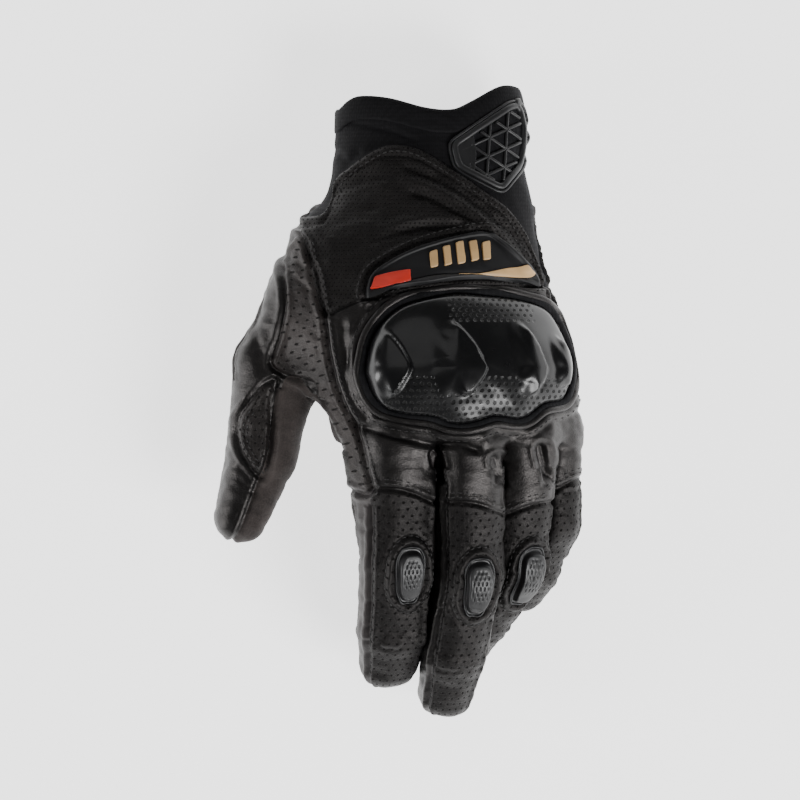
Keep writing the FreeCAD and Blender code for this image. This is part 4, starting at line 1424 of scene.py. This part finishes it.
def knuckle_form(xy, ridge, half, up, down):
    """How far across one knuckle form points lie, and how near its edge, 1 at the edge."""
    rise = xy[:, 1] - RIDGE_Y
    lean = np.where(rise > 0, -0.42 * rise, 0.25 * rise)
    a = (xy[:, 0] - (ridge - half) - lean) / half
    b = rise / np.where(rise > 0, up, down)
    return a, (np.abs(a) ** 2.2 + np.abs(b) ** 2.2) ** (1 / 2.2)


def guard_height(xy, share):
    """The domed guard with its knuckle forms."""
    dome = 1.6 + 5.4 * (1 - np.clip(share, 0, 1) ** 2.8) ** 0.8
    total = np.zeros(len(xy))
    for ridge, half, up, down in KNUCKLES:
        a, e = knuckle_form(xy, ridge, half, up, down)
        fade = 0.95 - 0.8 * smoothstep((a + 0.1) / 0.7)
        total = np.maximum(total, 2.3 * smoothstep((1 - e) / fade) + 0.5 * smoothstep(1 - e))
    return dome + total * smoothstep((1 - share) / 0.12)


def guard_grip(xy):
    """1 where the guard has its dotted grip texture."""
    x, y = xy.T
    lower = smoothstep((9.0 - y) / 3) * smoothstep((x + 6) / 4)
    upper = smoothstep((y - 27) / 3) * smoothstep((x - 17) / 4) * smoothstep((50 - x) / 5)
    form = np.min([knuckle_form(xy, *row)[1] for row in KNUCKLES], 0)
    return np.maximum(lower, upper) * smoothstep((form - 0.75) / 0.25)


def knuckle_guard(ground):
    """The gloss guard, its foam edge and the piped ring round it."""
    outline = smooth_line(GUARD_OUTLINE, True, 9)
    points, faces, xy = plate(ground.under, outline, guard_height, 52, 16, 1.2)
    hard_piece("knuckle_guard_shell", (points, faces), "guard", "knuckle_guard", uv=xy, grip=guard_grip(xy))
    line = offset_line(closed(outline), 1.3)
    foam = bar(*laid_loop(ground.under, even(line, 1.0)[0], 6), 3.4, 1.5, True)
    hard_piece("knuckle_guard_edge_foam", foam, "mesh", "knuckle_guard_foam")
    line = offset_line(line, 1.6)
    piping = bar(*laid_loop(ground.under, even(line, 1.0)[0], 6), 2.9, 1.9, True)
    ring = hard_piece("knuckle_guard_piping", piping, "smooth", "knuckle_guard_trim")


def slanted(points, middle, turn):
    """Points turned about a middle by degrees."""
    t = np.radians(turn)
    rel = np.array(points, float)
    return rel @ np.array(((np.cos(t), np.sin(t)), (-np.sin(t), np.cos(t)))) + np.array(middle)


# Middle and length of each plain bar on the badge.
BADGE_BARS = ((12.6, 53.3, 6.2), (17.6, 54.6, 7.4), (22.6, 55.8, 8.2), (27.6, 56.6, 8.0), (32.2, 56.6, 7.0))


def badge(ground):
    """The rubber plate over the wrist with its plain bars, wedge and red tab."""
    outline = smooth_line(BADGE_OUTLINE, True)

    def rise(xy, share):
        inner = -line_distance(outline, xy, True)
        return 2.1 - 0.6 * smoothstep((inner - 1.4) / 0.5)

    points, faces, xy = plate(ground.under, outline, rise, 46, 10, 1.0)
    hard_piece("badge_rubber_plate", (points, faces), "badge", "badge_plate", uv=slanted(xy, (0, 0), 12))
    parts = []
    half, lean = 1.5, 1.1
    for x, y, tall in BADGE_BARS:
        corners = [(-half, -tall / 2), (half, -tall / 2), (half + lean, tall / 2), (-half + lean, tall / 2)]
        outline_of_bar = rounded(slanted(corners, (x, y), 14), 0.5)
        parts.append(plate(ground.under, outline_of_bar, 2.35, 4, 1, 0.25)[:2])
    wedge = rounded(((22.0, 46.9), (49.6, 47.0), (51.2, 48.6), (48.2, 51.6), (45.0, 51.0)), 0.5)
    parts.append(plate(ground.under, wedge, 2.2, 8, 1, 0.25)[:2])
    hard_piece("badge_plain_bars", joined(parts), "gold", "badge_bars")
    tab = rounded(((-10.9, 41.3), (4.3, 44.6), (4.3, 49.4), (-9.0, 46.4)), 0.6)
    hard_piece("badge_plain_red_tab", plate(ground.under, tab, 2.5, 8, 1, 0.3)[:2], "red", "badge_red_tab")


def rounded(corners, radius, per=4, between=5):
    """A straight-sided outline with small round corners and points along its sides."""
    corners = np.array(corners, float)
    out = []
    for i, corner in enumerate(corners):
        before, after = corners[i - 1], corners[(i + 1) % len(corners)]
        a = corner + unit(before - corner) * radius
        b = corner + unit(after - corner) * radius
        for t in np.linspace(0, 1, per):
            out.append((1 - t) ** 2 * a + 2 * t * (1 - t) * corner + t**2 * b)
        c = after + unit(corner - after) * radius
        out += [b + (c - b) * k for k in np.linspace(0, 1, between + 2)[1:-1]]
    return np.array(out)


LATTICE = (
    (19.6, 98.5), (43.4, 115.2), (47.0, 114.4), (49.2, 105.4), (48.8, 97.7), (47.2, 89.6), (39.6, 79.8),
    (21.9, 88.8),
)


def lattice(ground):
    """The triangle-lattice rubber guard on the outer wrist and the dark mesh behind it."""
    outline = rounded(LATTICE, 2.2, 5, 6)
    backing = plate(ground.under, outline, 0.5, 12, 2, 0.4)[:2]
    hard_piece("wrist_mesh_backing", backing, "mesh", "wrist_lattice_backing")
    parts = []
    for inward, width, tall in ((1.3, 2.9, 1.9), (-0.6, 1.3, 1.3)):
        loop = even(closed(offset_loop(outline, facing(outline) * inward)), 0.9)[0]
        parts.append(bar(*laid_loop(ground.under, loop, 2), width, tall, True))
    cell, middle, turn = 7.4, np.array((40.6, 96.8)), np.radians(26)
    first, second = (np.array((np.cos(a), np.sin(a))) * cell for a in (turn, turn + np.pi / 3))
    for i in range(-5, 6):
        for j in range(-5, 6):
            for way in (first, second, second - first):
                line = middle + i * first + j * second + np.linspace(0, 1, 14)[:, None] * way
                line = line[line_distance(outline, line, True) < -2.4]
                if len(line) > 2:
                    parts.append(bar(*ground.under(line), 1.45, 1.5))
    solid = rounded(((21.6, 97.2), (28.6, 102.3), (29.6, 94.6), (28.8, 86.6), (23.4, 89.6)), 1.0, 4, 4)
    parts.append(plate(ground.under, solid, 1.45, 10, 2, 0.5)[:2])
    hard_piece("wrist_lattice_rubber", joined(parts), "lattice", "wrist_lattice_guard")


COFFIN = np.array((
    (-2.5, 8.2), (2.5, 8.2), (4.3, 4.4), (3.4, -4.0), (2.2, -8.4), (-2.2, -8.4), (-3.4, -4.0), (-4.3, 4.4),
))


def insert_height(xy, share):
    """The raised middle of an insert with its pattern of small sunk cells."""
    u, v = xy.T
    rib = np.abs(((u * 0.9 + v * 0.52) / 1.35) % 1 - 0.5) + np.abs(((u * 0.9 - v * 0.52) / 1.35) % 1 - 0.5)
    pattern = smoothstep((rib - 0.62) / 0.2) * smoothstep((v + 3.0) / 2) * smoothstep((0.62 - share) / 0.05)
    return 0.7 + 2.4 * smoothstep((0.9 - share) / 0.22) - 0.4 * pattern


def knuckle_inserts(ground):
    """The coffin-shaped rubber inserts on three fingers, in their moulded bezels."""
    for name, (along, across) in INSERTS.items():
        chain = CHAINS[name]

        def lay(xy):
            found = []
            for u, v in xy:
                s = along - v
                centre, sideways, _ = chain.centre(s)
                blend = np.clip((s - chain.starts[1]) / 8 + 0.5, 0, 1)
                back = unit(chain.back[0] * (1 - blend) + chain.back[1] * blend)
                spot = centre + sideways * (across + u)
                found.append(ground.hit(spot + back * RAY_START, -back))
            return np.array([f[0] for f in found]), np.array([f[1] for f in found])

        outline = rounded(COFFIN * np.array((1.36, 1.2)), 0.9, 3, 6)
        bezel = rounded(COFFIN * np.array((1.44, 1.24)), 1.4, 4, 6)
        rubber = plate(lay, outline, insert_height, 34, 4, 0.4)[:2]
        ring = bar(*laid_loop(lay, bezel, 3), 0.8, 0.75, True)
        piece, node = f"{name}_knuckle_insert_rubber", f"{name}_knuckle_insert"
        hard_piece(piece, joined([rubber, ring]), "insert", node, f"{name}_middle")


def cuff_rim(turn):
    """Y of the cuff's edge at a section angle."""
    dorsal = smoothstep(np.array((np.sin(np.radians(turn)) * 20 + 5) / 9))
    y = CUFF_TOP_PALM
    for _ in range(5):
        x = cuff_point(y, turn)[0]
        y = float(CUFF_TOP_PALM + (table_value(CUFF_TOP, x)[0] - CUFF_TOP_PALM) * dorsal)
    return y


# The hem's section from its stitched edge over the rim and down inside: Y from the rim, and lift.
HEM = (
    (-9.0, 0.1), (-8.6, 0.45), (-8.0, 0.55), (-4.0, 0.6), (-1.0, 0.6), (-0.3, 0.35), (0.1, -0.3),
    (0.1, -1.1), (-0.4, -1.7), (-3.0, -2.0),
)


def cuff():
    """The folded hem round the cuff's opening and the lining seen inside it."""
    turns = np.arange(0, 360, 3.0)
    rim = np.array([cuff_rim(t) for t in turns])
    hem = np.array([[cuff_point(r + dy, t, lift) for r, t in zip(rim, turns)] for dy, lift in HEM])
    hem = hem.reshape(-1, 3), ring_faces(len(HEM), len(turns))
    hard_piece("cuff_folded_hem", hem, "knit", "cuff_hem")
    rows = []
    for d in np.linspace(0, 1, 16):
        lift = -2.0 - 1.5 * d - 10 * max(d - 0.8, 0) * 5
        rows.append([cuff_point(r - 3.0 + (38 - r) * d, t, lift) for r, t in zip(rim, turns)])
    inside = np.array(rows)
    points = np.concatenate([inside.reshape(-1, 3), inside[-1].mean(0)[None]])
    hard_piece("wrist_inner_lining", (points, disc_faces(len(rows), len(turns))), "lining", "back_lining")


def cuff_point(y, turn, lift=0.0):
    """A point on the wrist's oval section, lifted off the skin."""
    left, right, centre_z, slope, arch, deep = catmull(HAND_ROWS, np.array([y]))[0]
    c, s = np.cos(np.radians(turn)), np.sin(np.radians(turn))
    u, v = np.sign(c) * abs(c) ** (2 / NORM), np.sign(s) * abs(s) ** (2 / NORM)
    x = (left + right) / 2 + u * ((right - left) / 2 + lift)
    z = centre_z - slope * u - arch * u * u + v * (deep + lift)
    return np.array((x, y, z))


def strap_sheet(ground, first, last, low, high, lift, thick, ends=0, curve=7.0, crown=0.0):
    """A strap lying on the wrist between two section angles: points and faces.

    One or two of its ends are rounded, over an angle of curve."""
    n, m = 64, 15
    tops, bottoms = np.empty((n, m, 3)), np.empty((n, m, 3))
    for i, t in enumerate(np.linspace(first, last, n)):
        share = 1.0
        if ends:
            near = min(abs(t - first), abs(last - t) if ends > 1 else 99) / curve
            share = np.sqrt(np.clip(1 - (1 - min(near, 1)) ** 2.6, 0.02, 1))
        way = np.array((np.cos(np.radians(t)), 0, np.sin(np.radians(t))))
        for j, w in enumerate(np.linspace(0, 1, m)):
            y = (low + high) / 2 + (high - low) * (w - 0.5) * share
            row = catmull(HAND_ROWS, np.array([y]))[0]
            spot = ground.hit(np.array(((row[0] + row[1]) / 2, y, row[2] - row[4] * 0.4)), way)[0]
            out = np.abs(w - 0.5) * 2
            edge = (1 - 0.75 * np.clip(out - 0.86, 0, 1) / 0.14) * (1 - crown * max(out, 1 - share) ** 2)
            tops[i, j] = spot + way * (lift + thick * edge)
            bottoms[i, j] = spot + way * lift
    evened(tops, 6)
    evened(bottoms, 6)
    points = np.concatenate([tops.reshape(-1, 3), bottoms.reshape(-1, 3)])
    top, base = np.arange(2 * n * m).reshape(2, n, m).tolist()
    faces = []
    for i in range(n - 1):
        for j in range(m - 1):
            faces.append((top[i][j], top[i][j + 1], top[i + 1][j + 1], top[i + 1][j]))
            faces.append((base[i][j], base[i + 1][j], base[i + 1][j + 1], base[i][j + 1]))
        for j in (0, m - 1):
            quad = (top[i][j], top[i + 1][j], base[i + 1][j], base[i][j])
            faces.append(quad if j == 0 else quad[::-1])
    for j in range(m - 1):
        for i in (0, n - 1):
            quad = (top[i][j], base[i][j], base[i][j + 1], top[i][j + 1])
            faces.append(quad if i == 0 else quad[::-1])
    return points, faces


# Name, size as strap_sheet takes it, paint, CAD node and body.
STRAP_PIECES = (
    ("wrist_loop_fastener", (214, 262, 59, 73, 0.2, 0.9), "loop", "wrist_loop_pad", "hand"),
    ("strap_hook_fastener", (216, 260, 59.5, 72.5, 1.3, 0.8), "hook", "strap_hook_pad", "wrist_strap"),
    ("strap_webbing", (207, 330, 57, 75, 2.3, 1.7, 1), "strap", "strap_band", "wrist_strap"),
    ("strap_grip_tab", (203, 219, 59, 73, 4.1, 1.2, 2), "badge", "strap_pull_tab", "wrist_strap"),
)


def wrist_strap(ground):
    """The closing strap under the wrist, its hook and loop pads, its pull tab and the heel pad."""
    for name, size, paint, node, body in STRAP_PIECES:
        hard_piece(name, strap_sheet(ground, *size), paint, node, body)
    pad = strap_sheet(ground, 300, 338, 28, 52, -0.4, 3.2, 2, 19.0, 0.75)
    heel = hard_piece("palm_heel_padding", pad, "palm", "palm_heel_pad")


# Name, place in metres, size and power of each soft lamp; all look at the glove.
LAMPS = (
    ("key", (0.95, -0.85, 1.0), 0.9, 30.0),
    ("top", (-0.3, 0.9, 1.4), 1.3, 3.0),
    ("side", (-1.25, -0.25, 0.42), 0.6, 11.0),
    ("glint", (0.85, -0.5, 0.8), 0.08, 0.8),
)


def camera_and_light():
    """A camera straight above the back of the hand, soft studio light and a pale floor."""
    ground_z, height = CAD_BOX[0].z, 2.4
    target = (HOME + np.array((0.4, 0.0, 0.0))) * MM
    data = bpy.data.cameras.new("camera")
    data.sensor_width = 36
    data.lens = 36 * (height - 0.045) / (800 / 2.6 * MM)
    bpy.context.scene.camera = linked("camera", data)
    bpy.context.scene.camera.location = (target[0], target[1], ground_z + height)
    for name, place, size, power in LAMPS:
        light = bpy.data.lights.new(name, "AREA")
        light.shape = "DISK"
        light.size = size
        light.energy = power
        lamp = linked(name, light)
        lamp.location = place
        lamp.rotation_euler = (-Vector(place)).to_track_quat("-Z", "Y").to_euler()
    world = bpy.data.worlds.new("world")
    world.use_nodes = True
    nodes, links = world.node_tree.nodes, world.node_tree.links
    path = nodes.new("ShaderNodeLightPath")
    level = nodes.new("ShaderNodeMath")
    level.operation = "MULTIPLY_ADD"
    level.inputs[1].default_value = 2.6
    level.inputs[2].default_value = 0.095
    links.new(path.outputs["Is Camera Ray"], level.inputs[0])
    links.new(level.outputs[0], nodes["Background"].inputs[1])
    nodes["Background"].inputs[0].default_value = (1, 1, 1, 1)
    bpy.context.scene.world = world
    size = 6.0
    mesh = bpy.data.meshes.new("floor")
    corners = [(x * size, y * size, ground_z) for x, y in ((-1, -1), (1, -1), (1, 1), (-1, 1))]
    mesh.from_pydata(corners, [], [(0, 1, 2, 3)])
    paper = Nodes(
        "floor_paper", Base_Color=(0.9, 0.9, 0.9, 1), Roughness=0.9,
        Emission_Color=(1, 1, 1, 1), Emission_Strength=1.9,
    )
    mesh.materials.append(paper.material)
    linked("floor", mesh)


def build():
    """Every piece of the glove, then the camera and light."""
    table, triangles, column = build_skin()
    panel_pieces(table, triangles, column)
    ground = Ground(table[:, :3], triangles, table[:, 3:6])
    sew(ground, stitch_rows(ground))
    knuckle_guard(ground)
    badge(ground)
    lattice(ground)
    knuckle_inserts(ground)
    cuff()
    wrist_strap(ground)
    camera_and_light()


build()
